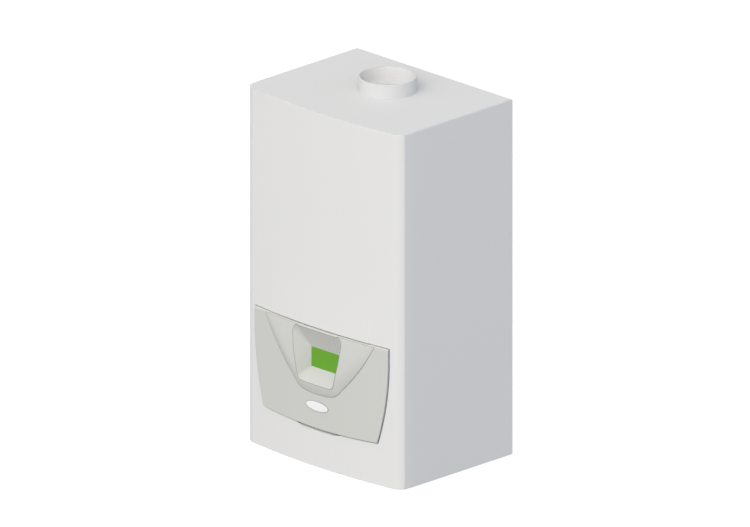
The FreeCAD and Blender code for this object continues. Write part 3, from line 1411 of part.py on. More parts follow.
def relief_knob():
    low = RELIEF_Z[1] + KNOB_GAP / 2
    cap = rod_z(KNOB_R, RELIEF_X, PUMP_Y, (low, low + KNOB_H))
    spindle = rod_z(KNOB_SPINDLE_R, RELIEF_X, PUMP_Y, (RELIEF_OUT_Z + RELIEF_PIPE_R, low + 1))
    grips = []
    for i in range(KNOB_GRIPS):
        turn = 2 * math.pi * i / KNOB_GRIPS
        x = RELIEF_X + (KNOB_R + 1) * math.cos(turn)
        depth = PUMP_Y + (KNOB_R + 1) * math.sin(turn)
        grips.append(rod_z(KNOB_SPINDLE_R, x, depth, (low - 1, low + KNOB_H + 1)))
    return join([cap, spindle]).cut(grips)


def discharge_pipe():
    route = [
        (RELIEF_OUT_X, PUMP_Y, RELIEF_OUT_Z),
        (RELIEF_PIPE_X, PUMP_Y, RELIEF_OUT_Z),
        (RELIEF_PIPE_X, PUMP_Y, RELIEF_PIPE_LOW),
    ]
    return sweep(route, RELIEF_PIPE_R, RELIEF_PIPE_X - RELIEF_OUT_X - 1, PIPE_WALL)


def expansion_vessel():
    def shell(inset):
        x = around(0, VESSEL_HALF - inset)
        depth = (BACK_FACE + inset, BACK_FACE + VESSEL_D - inset)
        body = block(x, depth, (VESSEL_Z[0] + inset, VESSEL_Z[1] - inset))
        return body.makeFillet(VESSEL_EDGE_R - inset, body.Edges)

    port = rod_z(VESSEL_PIPE_R + PORT_WALL / 2, VESSEL_PORT_X, VESSEL_PORT_Y,
                 (VESSEL_Z[0] - VESSEL_PORT_L, VESSEL_Z[0] + VESSEL_WALL / 2))
    bore = rod_z(VESSEL_PIPE_R - PIPE_WALL, VESSEL_PORT_X, VESSEL_PORT_Y,
                 (VESSEL_Z[0] - VESSEL_PORT_L - 1, VESSEL_Z[0] + FAR / 2))
    return cut_all(join([shell(0.0), port]), [shell(VESSEL_WALL), bore])


def vessel_pipe():
    top = VESSEL_Z[0] - VESSEL_PORT_L
    run = top - VESSEL_PUMP_TOP
    route = [
        (VESSEL_PORT_X, VESSEL_PORT_Y, top),
        (VESSEL_PORT_X, VESSEL_PORT_Y, top - run / 3),
        (VESSEL_PORT_X, PUMP_Y, VESSEL_PUMP_TOP + run / 3),
        (VESSEL_PORT_X, PUMP_Y, VESSEL_PUMP_TOP),
    ]
    return sweep(route, VESSEL_PIPE_R, CABLE_BEND, PIPE_WALL)


def air_vent():
    z = VENT_Z[0] + VENT_R
    return join([
        rod_z(VENT_R, VENT_X, HX_MID, VENT_Z),
        rod_z(VENT_CAP_R, VENT_X, HX_MID, (VENT_Z[1] - 1, VENT_Z[1] + VENT_CAP_H)),
        rod_x(VENT_STUB_R + PIPE_WALL, (HX_HALF, VENT_X), HX_MID, z),
    ])


# Control box

def cable_ends():
    """X of each cable that leaves the control box through its roof."""
    return (FAN_CABLE_X, VALVE_CABLE_X)


def control_box():
    body = block(around(0, BOX_HALF), (BOX_BACK, BOX_FRONT), BOX_Z)
    inside = block(around(0, BOX_HALF - BOX_WALL), (BOX_BACK + BOX_WALL, BOX_FRONT + 1),
                   (BOX_Z[0] + BOX_WALL, BOX_Z[1] - BOX_WALL))
    tools = [inside, rod_y(CABLE_R + TRAP_FIT_GAP, PUMP_X, (BOX_BACK - 1, BOX_BACK + BOX_WALL + 1), PUMP_Z)]
    for x in cable_ends():
        tools.append(rod_z(CABLE_R + TRAP_FIT_GAP, x, CABLE_Y, (BOX_Z[1] - BOX_WALL - 1, BOX_Z[1] + 1)))
    return cut_all(body, tools)


def board_posts():
    places = []
    for x in around(0, BOARD_HALF - BOARD_POST_IN):
        for z in (BOARD_Z[0] + BOARD_POST_IN, BOARD_Z[1] - BOARD_POST_IN):
            places.append((x, z))
    return places


def switch_sleeve(grow, depth):
    """The space of the rocker with its clearances, grown by a wall."""
    half_w = ROCKER_W / 2 + ROCKER_SIDE_GAP + grow
    half_h = ROCKER_H / 2 + ROCKER_END_GAP + grow
    return block(around(ROCKER_X, half_w), depth, around(ROCKER_Z, half_h))


def hinge_ears():
    ears = []
    for ear in (-HINGE_EAR_X, HINGE_EAR_X):
        wide = around(ear, HINGE_EAR_W / 2)
        ears.append(rod_x(HINGE_EAR_R, wide, HINGE_DEPTH, HINGE_Z))
        ears.append(block(wide, (BOX_FRONT + 1, HINGE_DEPTH), around(HINGE_Z, HINGE_ROD_R)))
    return ears


def control_fascia():
    z = FASCIA_Z
    half = FASCIA_HALF
    corners = [V(half, 0, z[0]), V(half, 0, z[1]), V(-half, 0, z[1]), V(-half, 0, z[0])]
    plate = front_prism(rounded_loop(corners, CORNER_R / 2), (BOX_FRONT, FASCIA_FRONT))
    parts = [plate] + hinge_ears()
    for x, post_z in board_posts():
        parts.append(rod_y(BOARD_POST_R, x, (BOARD_FRONT, BOX_FRONT + 1), post_z))
    parts.append(switch_sleeve(SWITCH_WALL, (FASCIA_FRONT - SWITCH_D, FASCIA_FRONT)))
    parts.append(switch_sleeve(SWITCH_WALL + SWITCH_BEZEL, (BOX_FRONT, FASCIA_FRONT + SWITCH_BEZEL_T)))
    through = (BOX_FRONT - 1, FASCIA_FRONT + 1)
    pin_reach = rocker_pin_reach() + FIT_GAP
    module = DISPLAY_W / 2 + MODULE_EDGE + FIT_GAP
    tools = [
        block(around(0, module), through, around(DISPLAY_Z, DISPLAY_H / 2 + MODULE_EDGE + FIT_GAP)),
        rod_y(GAUGE_R + FIT_GAP, GAUGE_X, through, GAUGE_Z),
        switch_sleeve(0.0, (FASCIA_FRONT - SWITCH_D - 1, FASCIA_FRONT + FAR)),
        rod_x(ROCKER_PIN_R + RUN_GAP, around(ROCKER_X, pin_reach), ROCKER_AXIS_DEPTH, ROCKER_Z),
        rod_x(HINGE_ROD_R + HINGE_RUN_GAP, around(0, hinge_reach()), HINGE_DEPTH, HINGE_Z),
    ]
    for x in KEY_XS:
        tools.append(rod_y(KEY_R + KEY_GAP, x, through, KEY_Z))
    return cut_all(join(parts), tools)


def control_board():
    board = block(around(0, BOARD_HALF), (BOARD_FRONT - BOARD_T, BOARD_FRONT), BOARD_Z)
    parts = [board]
    for x, wide, z, tall, deep in BOARD_BLOCKS:
        behind = (BOARD_FRONT - BOARD_T - deep, BOARD_FRONT - BOARD_T / 2)
        parts.append(block((x, x + wide), behind, (z, z + tall)))
    for x in KEY_XS:
        parts.append(rod_y(TACT_R, x, (BOARD_FRONT - BOARD_T / 2, BOARD_FRONT + TACT_H), KEY_Z))
    return join(parts)


def display_module():
    half = DISPLAY_W / 2 + MODULE_EDGE
    tall = DISPLAY_H / 2 + MODULE_EDGE
    return block(around(0, half), (BOARD_FRONT, DISPLAY_DEPTH - SCREEN_T), around(DISPLAY_Z, tall))


def display_screen():
    half = DISPLAY_W / 2 + SCREEN_EDGE
    tall = DISPLAY_H / 2 + SCREEN_EDGE
    return block(around(0, half), (DISPLAY_DEPTH - SCREEN_T, DISPLAY_DEPTH), around(DISPLAY_Z, tall))


# Gauge, switch and keys

def gauge_case():
    front = FASCIA_FRONT + GAUGE_BEZEL_T
    lip = front + GAUGE_LIP
    bore = GAUGE_R - GAUGE_WALL
    case = join([
        rod_y(GAUGE_R, GAUGE_X, (GAUGE_BACK, lip), GAUGE_Z),
        rod_y(GAUGE_BEZEL_R, GAUGE_X, (FASCIA_FRONT, front), GAUGE_Z),
    ])
    hollow = rod_y(bore, GAUGE_X, (GAUGE_BACK + GAUGE_WALL, lip + 1), GAUGE_Z)
    floor = rod_y(bore + GAUGE_WALL / 2, GAUGE_X, (GAUGE_BACK + GAUGE_WALL / 2, DIAL_DEPTH), GAUGE_Z)
    dial_hole = rod_y(POINTER_PIN_R + RUN_GAP, GAUGE_X, (GAUGE_BACK + 2 * GAUGE_WALL, lip), GAUGE_Z)
    dial = floor.cut(dial_hole)
    return join([case.cut(hollow), dial])


def gauge_glass():
    front = FASCIA_FRONT + GAUGE_BEZEL_T + GAUGE_LIP - GLASS_INSET
    return rod_y(GAUGE_R - GAUGE_WALL - RUN_GAP, GAUGE_X, (front - GLASS_T, front), GAUGE_Z)


def gauge_pointer():
    back = DIAL_DEPTH + POINTER_LIFT
    front = back + POINTER_T
    needle = Part.makePolygon([
        V(GAUGE_X - POINTER_W, -front, GAUGE_Z - POINTER_L / 3),
        V(GAUGE_X + POINTER_W, -front, GAUGE_Z - POINTER_L / 3),
        V(GAUGE_X + POINTER_W / 4, -front, GAUGE_Z + POINTER_L),
        V(GAUGE_X - POINTER_W / 4, -front, GAUGE_Z + POINTER_L),
        V(GAUGE_X - POINTER_W, -front, GAUGE_Z - POINTER_L / 3),
    ])
    needle = Part.Face(needle).extrude(V(0, POINTER_T, 0))
    pointer = join([
        needle,
        rod_y(POINTER_HUB_R, GAUGE_X, (back, front + POINTER_T), GAUGE_Z),
        rod_y(POINTER_PIN_R, GAUGE_X, (GAUGE_BACK + 3 * GAUGE_WALL, back + POINTER_T / 2), GAUGE_Z),
    ])
    pointer.rotate(V(GAUGE_X, 0, GAUGE_Z), Y_AXIS, -POINTER_REST)
    return pointer


def rocker_pin_reach():
    return ROCKER_W / 2 + ROCKER_SIDE_GAP + SWITCH_WALL - RUN_GAP


def rocker():
    wide, tall = around(ROCKER_X, ROCKER_W / 2), around(ROCKER_Z, ROCKER_H / 2)
    body = block(wide, (ROCKER_BACK, ROCKER_FRONT), tall)
    hollow_r = 2.5 * ROCKER_H
    dish = rod_x(hollow_r, around(ROCKER_X, ROCKER_W), ROCKER_FRONT + hollow_r - KEY_FLANGE_T, ROCKER_Z)
    pins = rod_x(ROCKER_PIN_R, around(ROCKER_X, rocker_pin_reach()), ROCKER_AXIS_DEPTH, ROCKER_Z)
    paddle = join([body.cut(dish), pins])
    paddle.rotate(V(0, -ROCKER_AXIS_DEPTH, ROCKER_Z), X_AXIS, -ROCKER_TILT)
    return paddle


def key(x):
    back = BOX_FRONT - KEY_GAP
    head = rod_y(KEY_R, x, (back - KEY_FLANGE_T / 2, FASCIA_FRONT + KEY_PROUD), KEY_Z)
    beyond = -FASCIA_FRONT - KEY_PROUD / 2
    front = [edge for edge in head.Edges if edge.CenterOfMass.y < beyond and edge.isClosed()]
    head = head.makeFillet(KEY_FLANGE_T, front[:1])
    return join([
        head,
        rod_y(KEY_R + KEY_FLANGE, x, (back - KEY_FLANGE_T, back), KEY_Z),
        rod_y(KEY_STEM_R, x, (KEY_STEM_END, back - KEY_FLANGE_T / 2), KEY_Z),
    ])


def cable_loom():
    """Cables from the control box to the fan, the gas valve and the pump."""
    roof = BOX_Z[1] - BOX_WALL
    fan_side = FAN_X + FAN_MOTOR_R
    fan_depth = FAN_BACK - FAN_MOTOR_L / 2
    fan = [
        (FAN_CABLE_X, CABLE_Y, roof),
        (FAN_CABLE_X, CABLE_Y, roof + 45),
        (175, 225, 400),
        (180, 185, 520),
        (180, fan_depth, FAN_Z),
        (fan_side, fan_depth, FAN_Z),
    ]
    valve = [
        (VALVE_CABLE_X, CABLE_Y, roof),
        (VALVE_CABLE_X, CABLE_Y, roof + 50),
        (-158, 250, 400),
        (-158, 245, 500),
        (-140, 225, 540),
        (-140, 225, GAS_VALVE_Z[0]),
    ]
    pump = rod_y(CABLE_R, PUMP_X, (PUMP_MOTOR_FRONT + PUMP_CAP_L, BOX_BACK + BOX_WALL), PUMP_Z)
    bend = CABLE_BEND
    return Part.makeCompound([sweep(fan, CABLE_R, bend), sweep(valve, CABLE_R, bend / 2), pump])


MAKERS = [
    front_casing, finger_scoop, control_door, door_badge, hinge_rod,
    wall_bracket, hanger_hook, back_panel, top_plate, base_plate, top_rails, casing_clips, chassis_screws,
    flue_collar, flue_socket, flue_pipe,
    heat_exchanger, burner, hood_gasket, burner_hood, hood_nuts, ignition_electrode,
    fan_housing, fan_motor, fan_impeller, venturi, gas_valve, gas_feed_pipe, gas_supply_pipe,
    condensate_sump, condensate_trap,
    pump_body, pump_motor, pump_impeller, pump_outlet_pipe, connection_pipes,
    diverter_valve, diverter_actuator, flow_pipe, plate_exchanger,
    relief_valve, relief_knob, discharge_pipe, expansion_vessel, vessel_pipe, air_vent,
    control_box, control_fascia, control_board, display_module, display_screen,
    gauge_case, gauge_glass, gauge_pointer, rocker, cable_loom,
]


def main():
    os.makedirs("parts", exist_ok=True)
    pieces = {maker.__name__: maker() for maker in MAKERS}
    for number, x in enumerate(KEY_XS, start=1):
        pieces[f"key_{number}"] = key(x)
    for name, shape in pieces.items():
        shape.translate(V(0, 0, -HANG_Z))
        box = shape.BoundBox
        print(f"{name}: {len(shape.Solids)} solids, valid {shape.isValid()}, {shape.Volume / 1000:.2f} cm3, "
              f"z {box.ZMin:.1f} to {box.ZMax:.1f}")
        shape.exportStep(f"parts/{name}.step")


main()
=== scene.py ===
"""Looks of a wall-hung gas boiler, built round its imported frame.

Sizes are in millimetres: X across, depth out from the wall, height up from the casing's bottom edge.
"""
import json
import math
from typing import NamedTuple

import bmesh
import bpy
from mathutils import Color, Matrix, Vector

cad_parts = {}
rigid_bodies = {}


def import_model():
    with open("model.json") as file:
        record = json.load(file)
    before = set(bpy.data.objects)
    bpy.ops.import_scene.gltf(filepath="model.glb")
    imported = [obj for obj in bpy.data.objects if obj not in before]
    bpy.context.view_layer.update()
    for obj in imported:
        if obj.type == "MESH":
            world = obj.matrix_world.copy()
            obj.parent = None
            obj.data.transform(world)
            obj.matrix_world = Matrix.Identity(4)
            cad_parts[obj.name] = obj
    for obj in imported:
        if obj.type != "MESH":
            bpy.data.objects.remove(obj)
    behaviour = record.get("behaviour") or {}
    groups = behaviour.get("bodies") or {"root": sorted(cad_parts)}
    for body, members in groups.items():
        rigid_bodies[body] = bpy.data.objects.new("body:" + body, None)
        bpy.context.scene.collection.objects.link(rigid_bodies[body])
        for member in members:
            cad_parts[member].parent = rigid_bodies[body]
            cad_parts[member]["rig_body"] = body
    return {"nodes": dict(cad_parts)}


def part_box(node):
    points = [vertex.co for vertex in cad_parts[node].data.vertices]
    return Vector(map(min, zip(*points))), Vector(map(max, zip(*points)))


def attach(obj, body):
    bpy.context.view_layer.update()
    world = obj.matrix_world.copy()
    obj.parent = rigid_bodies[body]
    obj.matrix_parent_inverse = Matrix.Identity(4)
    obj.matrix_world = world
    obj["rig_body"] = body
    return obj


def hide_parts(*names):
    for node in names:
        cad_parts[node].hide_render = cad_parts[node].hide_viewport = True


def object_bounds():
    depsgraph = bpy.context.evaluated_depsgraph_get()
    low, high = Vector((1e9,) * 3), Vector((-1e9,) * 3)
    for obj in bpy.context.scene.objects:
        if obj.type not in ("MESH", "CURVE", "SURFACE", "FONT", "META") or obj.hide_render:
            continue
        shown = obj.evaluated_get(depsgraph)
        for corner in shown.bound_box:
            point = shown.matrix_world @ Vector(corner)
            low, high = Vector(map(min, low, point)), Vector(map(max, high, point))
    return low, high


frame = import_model()
CAD_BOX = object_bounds()

bl_info = {
    "name": "Wall-hung gas boiler",
    "version": (1, 0, 0),
    "blender": (4, 5, 0),
    "location": "3D View > Sidebar > Boiler",
    "description": "Builds the casing, door, controls and inner pieces of a wall-hung gas boiler",
    "category": "Add Mesh",
}

MM = 0.001
TURN = 2 * math.pi
WELD = 0.02 * MM
FLAT_ANGLE = math.radians(0.4)
SMOOTH_ANGLE = math.radians(25.0)
BEVEL_ANGLE = math.radians(40.0)
BEVEL_STEPS = 2
ROUND_STEPS = 96

# Casing
BOW_R = 1320.0
ROLL_R = 28.7
ROLL_STEP = 0.1
CREASE_IN = 1.6
CREASE_DEPTH = 277.2
EASE_DEPTH = 244.5
EASE_STEPS = 6
SIDE_STEP = 60.0
PLAN_STEPS = 15
SHEET = 1.2
WALL_GAP = 1.0
FLANGE_W = 12.8
FLANGE_LAP = 0.9 * SHEET
TOP_FLANGE_DROP = 2.4
BROW_HALF = 127.0
BROW_PROUD = 1.6
BROW_FADE = 90.0
BROW_POWER = 1.1
BROW_STEP = 1.2
CASING_LOW, CASING_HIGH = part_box("front_casing")
HANG = round(-CASING_LOW.z / MM, 2)
CASING_W = round((CASING_HIGH.x - CASING_LOW.x) / MM, 2)
CASING_H = round((CASING_HIGH.z - CASING_LOW.z) / MM, 2)
CASING_D = round(-CASING_LOW.y / MM - BROW_PROUD, 2)
BOW_Y = BOW_R - CASING_D
LOW_LEVELS = 9
JAMB_STEP = 9.0
UPPER_LEVELS = (285.0, 300.0, 315.0, 330.0, 345.0, 360.0, 400.0, 470.0, 540.0, 610.0, 660.0, CASING_H)
SIDE_COLUMNS = 3
SCOOP_COLUMN = 3.5
FOOT_COLUMN = 4.5
BROW_COLUMN = 9.0
JAMB_COLUMN = 8.0
STUDS = {"top": ((-150.0, 655.0), (150.0, 655.0)), "foot": ((-165.0, 40.0), (165.0, 40.0))}
STUD = {"Ball Radius": 3.6, "Rod Radius": 2.5}
STUD_TIP = 279.75
STUD_SINK = SHEET / 3

# Control door
DOOR_HALF_TOP = 172.0
DOOR_HALF_FOOT = 146.0
DOOR_TOP = 267.0
DOOR_KNEE = 245.0
DOOR_CORNER = 81.0
DOOR_LOW = 75.0
DOOR_SIDE_R = 517.0
DOOR_LOW_R = (DOOR_HALF_FOOT ** 2 + (DOOR_CORNER - DOOR_LOW) ** 2) / (2 * (DOOR_CORNER - DOOR_LOW))
DOOR_PROUD = 2.4
DOOR_WALL = 2.0
DOOR_RIM = 8.0
DOOR_EDGE_R = 3.0
DOOR_ROUND = ((0.0, 1.0), (0.29, 0.29), (1.0, 0.0))
DOOR_GAP = 1.2
DOOR_TOP_GAP = 1.6
DOOR_CENTRE = (0.0, 201.0)
DOOR_SIDE_STEP = 8.0
DOOR_LOW_STEP = 6.0
DOOR_RINGS = 9
# Finishes of the door by mark: its plastic, the sunk line painted darker as painted shade in the groove, and
# the rim's side wall painted darker as painted shade of the gap round the door.
DOOR_LOOKS = ("door_plastic", "door_line_painted_shade", "door_rim_painted_shade")
RAYS = 240
RAY_APART = 0.008
KEY_APART = 0.002
TURN_SLACK = 1e-4
MEETING_ROUNDS = 30
PARALLEL = 1e-12
SLACK = 1e-9
LEAST_STRETCH = 0.5

# Raised shield of the door and its funnel window
SHIELD_TOP = 264.6
SHIELD_SIDE = ((139.7, SHIELD_TOP), (114.4, 224.0), (60.0, 161.0))
SHIELD_HEEL = ((60.0, 161.0), (49.6, 150.4), (34.0, 143.5))
SHIELD_FOOT = ((34.0, 143.5), (0.0, 141.0), (-34.0, 143.5))
SHIELD_STEPS = (24, 10, 12)
SHIELD_PROUD = ((141.0, 6.3), (185.0, 8.0), (264.0, DOOR_PROUD))
SHIELD_ROUND = 22.0
SHIELD_RINGS = 14
MOUTH = ((63.5, 263.3), (-63.5, 263.3), (-57.0, 216.0), (-43.5, 161.0), (43.5, 161.0), (57.0, 216.0))
MOUTH_KNEE_R = 150.0
MOUTH_R = (13.0, 13.0, MOUTH_KNEE_R, 13.0, 13.0, MOUTH_KNEE_R)
MOUTH_STEPS = 8
FUNNEL_DEPTH = 282.5
FUNNEL_RINGS = 8
SCREEN_X, SCREEN_LOW, SCREEN_HIGH = 36.0, 182.0, 220.0
SCREEN = ((SCREEN_X, SCREEN_HIGH), (-SCREEN_X, SCREEN_HIGH), (-SCREEN_X, SCREEN_LOW), (SCREEN_X, SCREEN_LOW))
# Height above which the crease line is neither sunk nor painted darker.
LINE_FADE_Z = 264.3
LUG_R = 3.0
LUG_W = 5.0
LUG_XS = (-60.0, -47.5, 42.5, 55.0)
LUG_ROUND = 0.8
LUG_OVER = 1.0
HINGE_DEPTH = 298.5
HINGE_Z = 263.5
EAR_X = 50.0
EAR_NOTCH = 2.5
NOTCH_DEEP = 4 * LUG_R
NOTCH_OVER = 1.0

# Badge, with each ring's share of the size, height and finish, and finger scoop
BADGE_W = 58.0
BADGE_H = 20.0
BADGE_Z = 118.0
BADGE_RIM = 0.85
BADGE_RINGS = (
    (1.0, 0.0, 1), (1.0, 0.75, 1), (0.98, 0.95, 1), (0.91, 0.95, 1),
    (0.89, 0.7, 0), (0.78, 0.8, 0), (0.5, 0.85, 0), (0.2, 0.87, 0),
)
SCOOP_HALF = 61.0
SCOOP_KINK = SCOOP_HALF - 4.0
SCOOP_LOW = 66.0
SCOOP_REAR = 284.0
SCOOP_WALL = 2.0
SCOOP_ROOF = 72.5
SCOOP_CURVE = 0.42
SCOOP_FALL = 0.01
SCOOP_STEP = 2.5
SCOOP_STEPS = 10
SCOOP_TOP = DOOR_LOW + (DOOR_CORNER - DOOR_LOW) * (SCOOP_HALF / DOOR_HALF_FOOT) ** 2
SCOOP_R = (SCOOP_HALF ** 2 + (SCOOP_TOP - SCOOP_LOW) ** 2) / (2 * (SCOOP_TOP - SCOOP_LOW))

# Flue collar
FLUE_DEPTH = 122.0
COLLAR_R = 53.5
COLLAR_BORE_R = 50.5
COLLAR_TOP = 711.0
COLLAR_WELD = ((1.6, 0.1), (0.5, 0.6), (0.0, 1.8))
COLLAR_LIP_STEPS = 7

# Gauge; a mark is given by its inner radius and half its width in degrees
GAUGE_X = -105.0
GAUGE_Z = 190.0
DIAL_DEPTH = 276.0
DIAL_RINGS = (17.4, 12.0, 6.0, 2.0)
DIAL_STEPS = 72
DIAL_LIFT = 0.1
DIAL_SWEEP = 270.0
DIAL_BARS = 4
MARKS_TO_BAR = 10
MARK_OUTER = 16.4
MARK_LIFT = 0.25
BAR_MARK = (12.2, 1.1)
FINE_MARK = (14.0, 0.5)
FIGURE_R = 9.2
FIGURE_LIFT = 0.16
FIGURE_SIZE = 4.4
FIGURE_T = 0.06

# Fasteners
SCREW_XS = (-150.0, -60.0, 60.0, 150.0)
SCREW_ZS = (28.0, 670.0)
SCREW_FACE = 17.0
SCREW = {"Radius": 4.0, "Crown Radius": 2.4, "Rim": 1.0, "Dome": 1.5, "Slot Length": 4.6, "Slot Width": 0.9,
         "Slot Depth": 2.4}
NUT_XS = (-102.0, 0.0, 102.0)
NUT_DEPTHS = (166.0, 256.0)
NUT_Z = 566.0
NUT_ROUND = 0.25
NUT = {"Nut Radius": 5.2, "Nut Height": 4.2, "Washer Radius": 5.2, "Washer": 0.8, "Stud Radius": 2.5,
       "Stud Height": 7.0}
HEAD_SIDES = 32
NUT_SIDES = 6
ROD_SIDES = 20
BALL_SEGMENTS = 24
BALL_RINGS = 14
TO_FRONT = (math.pi / 2, 0.0, 0.0)
QUARTER = (0.0, 0.0, math.pi / 2)

# Noise of the finishes
PATCH_DETAIL = 4.0
GLOSS_FINER = 7.0
GLOSS_DETAIL = 3.0
GRAIN_DETAIL = 2.0

# Stage, in metres apart from the camera's aim
FLOOR_REACH = 15.0
FLOOR_TONE = 0.3
FLOOR_GLOW = 0.78
KEY_SPREAD = math.radians(60.0)
FILL_SPREAD = math.radians(40.0)
FILL_FROM = (0.50, 0.86, 0.08)
FILL_STRENGTH = 1.0
CAMERA_FROM = (2.0, -2.0, 1.0)
CAMERA_AIM = (0.0, 155.1, 356.4)
CAMERA_AWAY = 3.0
WHITE = (1.0, 1.0, 1.0)


class Look(NamedTuple):
    """A finish: its colour on screen, or the setting that gives it, and how it takes the light.

    Grain is the relief's size and depth in millimetres. Drift is the depth of a slow change of tone and its
    patches per metre, and spread the change of roughness. Spangle is zinc's patches per metre and contrast.
    """
    colour: tuple | str
    roughness: float
    metallic: float = 0.0
    grain: tuple = (1.0, 0.01)
    drift: tuple = (0.03, 8.0)
    spread: float = 0.08
    gleam: float = 0.5
    spangle: tuple = ()
    clear: float = 0.0
    glow: float = 0.0
    dim: float = 1.0


LOOKS = {
    "casing_paint": Look("boiler_casing.paint", 0.6, grain=(2.2, 0.01), drift=(0.01, 5.0), spread=0.06,
                         gleam=0.2),
    "door_plastic": Look("boiler_door.plastic", 0.65, grain=(0.7, 0.01), drift=(0.01, 6.0), spread=0.06,
                         gleam=0.2),
    # The sunk line round the shield and mouth: the door's plastic painted darker, as painted shade in the
    # groove.
    "door_line_painted_shade": Look((138, 139, 136), 0.75, grain=(0.5, 0.01), gleam=0.1),
    # The door's rim side wall and rounded edge: the plastic painted darker, as painted shade of the gap
    # round the door.
    "door_rim_painted_shade": Look((166, 169, 170), 0.7, grain=(0.6, 0.01), gleam=0.1),
    "badge_face": Look("boiler_door.badge", 0.3, grain=(3.0, 0.003), drift=(0.01, 20.0), gleam=0.3),
    "badge_rim": Look((150, 155, 158), 0.4, grain=(2.0, 0.003), gleam=0.2),
    # The door's plastic painted lighter for the scoop, as painted light against the shade under the door's
    # edge.
    "scoop_plastic_painted_light": Look((224, 224, 219), 0.65, grain=(0.7, 0.01), drift=(0.01, 6.0), gleam=0.2),
    "top_paint": Look((223, 222, 221), 0.6, grain=(2.2, 0.01), drift=(0.01, 5.0), gleam=0.2),
    # The collar's outside is its paint darkened, as painted shade against the light bounced from the top
    # plate; the bore keeps the paint's own tone.
    "collar_paint": Look((209, 208, 208), 0.6, grain=(1.8, 0.01), drift=(0.01, 9.0), gleam=0.2),
    "collar_bore": Look((226, 225, 224), 0.6, grain=(1.8, 0.01), drift=(0.01, 9.0), gleam=0.2),
    "flue_plastic": Look((226, 225, 222), 0.45, grain=(1.2, 0.01)),
    "galvanised": Look((172, 176, 180), 0.42, metallic=0.9, grain=(3.0, 0.01), spangle=(110.0, 0.22)),
    "spring_steel": Look((150, 152, 155), 0.3, metallic=1.0),
    "zinc_screw": Look((190, 191, 188), 0.32, metallic=1.0, grain=(0.8, 0.01)),
    "cast_aluminium": Look((176, 178, 180), 0.55, metallic=0.85, grain=(1.1, 0.09), drift=(0.08, 40.0)),
    "burner_steel": Look((168, 166, 162), 0.36, metallic=1.0, drift=(0.1, 30.0)),
    "motor_steel": Look((140, 143, 146), 0.4, metallic=1.0),
    "copper": Look((196, 124, 88), 0.3, metallic=1.0, grain=(4.0, 0.01), drift=(0.25, 25.0), spread=0.2),
    "brass": Look((190, 160, 96), 0.34, metallic=1.0, grain=(2.0, 0.02), drift=(0.12, 30.0), spread=0.15),
    "gasket": Look((72, 70, 68), 0.9, grain=(0.8, 0.05)),
    "ceramic": Look((238, 234, 224), 0.3),
    "black_plastic": Look((36, 37, 39), 0.5, grain=(0.6, 0.02)),
    "wheel_plastic": Look((138, 138, 140), 0.45),
    "sump_plastic": Look((60, 62, 64), 0.5, grain=(0.7, 0.02)),
    "motor_paint": Look((58, 66, 74), 0.4, grain=(1.5, 0.03)),
    "vessel_paint": Look((158, 40, 36), 0.35, grain=(1.8, 0.02), drift=(0.05, 12.0)),
    "knob_plastic": Look((176, 38, 32), 0.4),
    "dial_white": Look((240, 240, 238), 0.5, grain=(1.0, 0.004), drift=(0.02, 60.0)),
    "dial_ink": Look((30, 31, 33), 0.5, grain=(0.6, 0.004)),
    "control_plastic": Look((150, 152, 154), 0.55, grain=(0.6, 0.015)),
    "board": Look((36, 92, 58), 0.4, grain=(0.5, 0.02)),
    "display_frame": Look((40, 42, 44), 0.45),
    "display_glow": Look("boiler_door.backlight", 0.5, grain=(0.6, 0.004), drift=(0.02, 30.0), gleam=0.05,
                         glow=0.68, dim=0.6),
    "gauge_plastic": Look((118, 120, 122), 0.4),
    "clear_glass": Look((248, 250, 250), 0.03, grain=(8.0, 0.002), drift=(0.01, 10.0), spread=0.02,
                        clear=1.0),
    "pointer": Look((38, 38, 38), 0.4),
    "key_plastic": Look((216, 216, 213), 0.5, grain=(0.6, 0.01)),
    "cable": Look((34, 34, 36), 0.55, grain=(0.5, 0.02)),
}


def screen(red, green, blue):
    """Screen values from 0 to 255 as shares of one."""
    return (red / 255, green / 255, blue / 255)


def at(x, depth, height):
    """A place in metres."""
    return Vector((x * MM, -depth * MM, (height - HANG) * MM))


def shares(steps):
    """Even shares from 0 to 1."""
    return [i / steps for i in range(steps + 1)]


def around(count):
    """Even angles round a circle."""
    return [TURN * i / count for i in range(count)]


def spaced(first, last, step):
    """Values from the first to the last, about a step apart."""
    return [first + (last - first) * share for share in shares(max(1, round(abs(last - first) / step)))]


# Settings that a user would change

def paint_setting(name, description, *values):
    """The colour of a surface, by screen values from 0 to 255."""
    return bpy.props.FloatVectorProperty(
        name=name, description=description, subtype="COLOR_GAMMA", min=0.0, max=1.0, default=screen(*values))


def light_setting(name, description, *values):
    """The colour and strength of a light."""
    return bpy.props.FloatVectorProperty(
        name=name, description=description, subtype="COLOR", min=0.0, soft_max=2.0, default=values)


def length_setting(name, description, metres):
    """A length of the model."""
    return bpy.props.FloatProperty(name=name, description=description, unit="LENGTH", default=metres)


class CasingSettings(bpy.types.PropertyGroup):
    paint: paint_setting("Paint", "Colour of the casing's powder coat", 225, 224, 223)
    edge: length_setting("Edge rounding", "Rounding of the sheet's cut edges", 0.35 * MM)


class DoorSettings(bpy.types.PropertyGroup):
    plastic: paint_setting("Plastic", "Colour of the door's moulded plastic", 204, 204, 199)
    backlight: paint_setting("Backlight", "Colour of the lit display", 105, 163, 54)
    badge: paint_setting("Badge", "Colour of the blank oval badge", 240, 240, 240)
    # The sunk line's faces are also painted darker, as painted shade in the groove.
    line: length_setting(
        "Crease line", "Half width of the fine line round the shield and its mouth", 0.5 * MM)


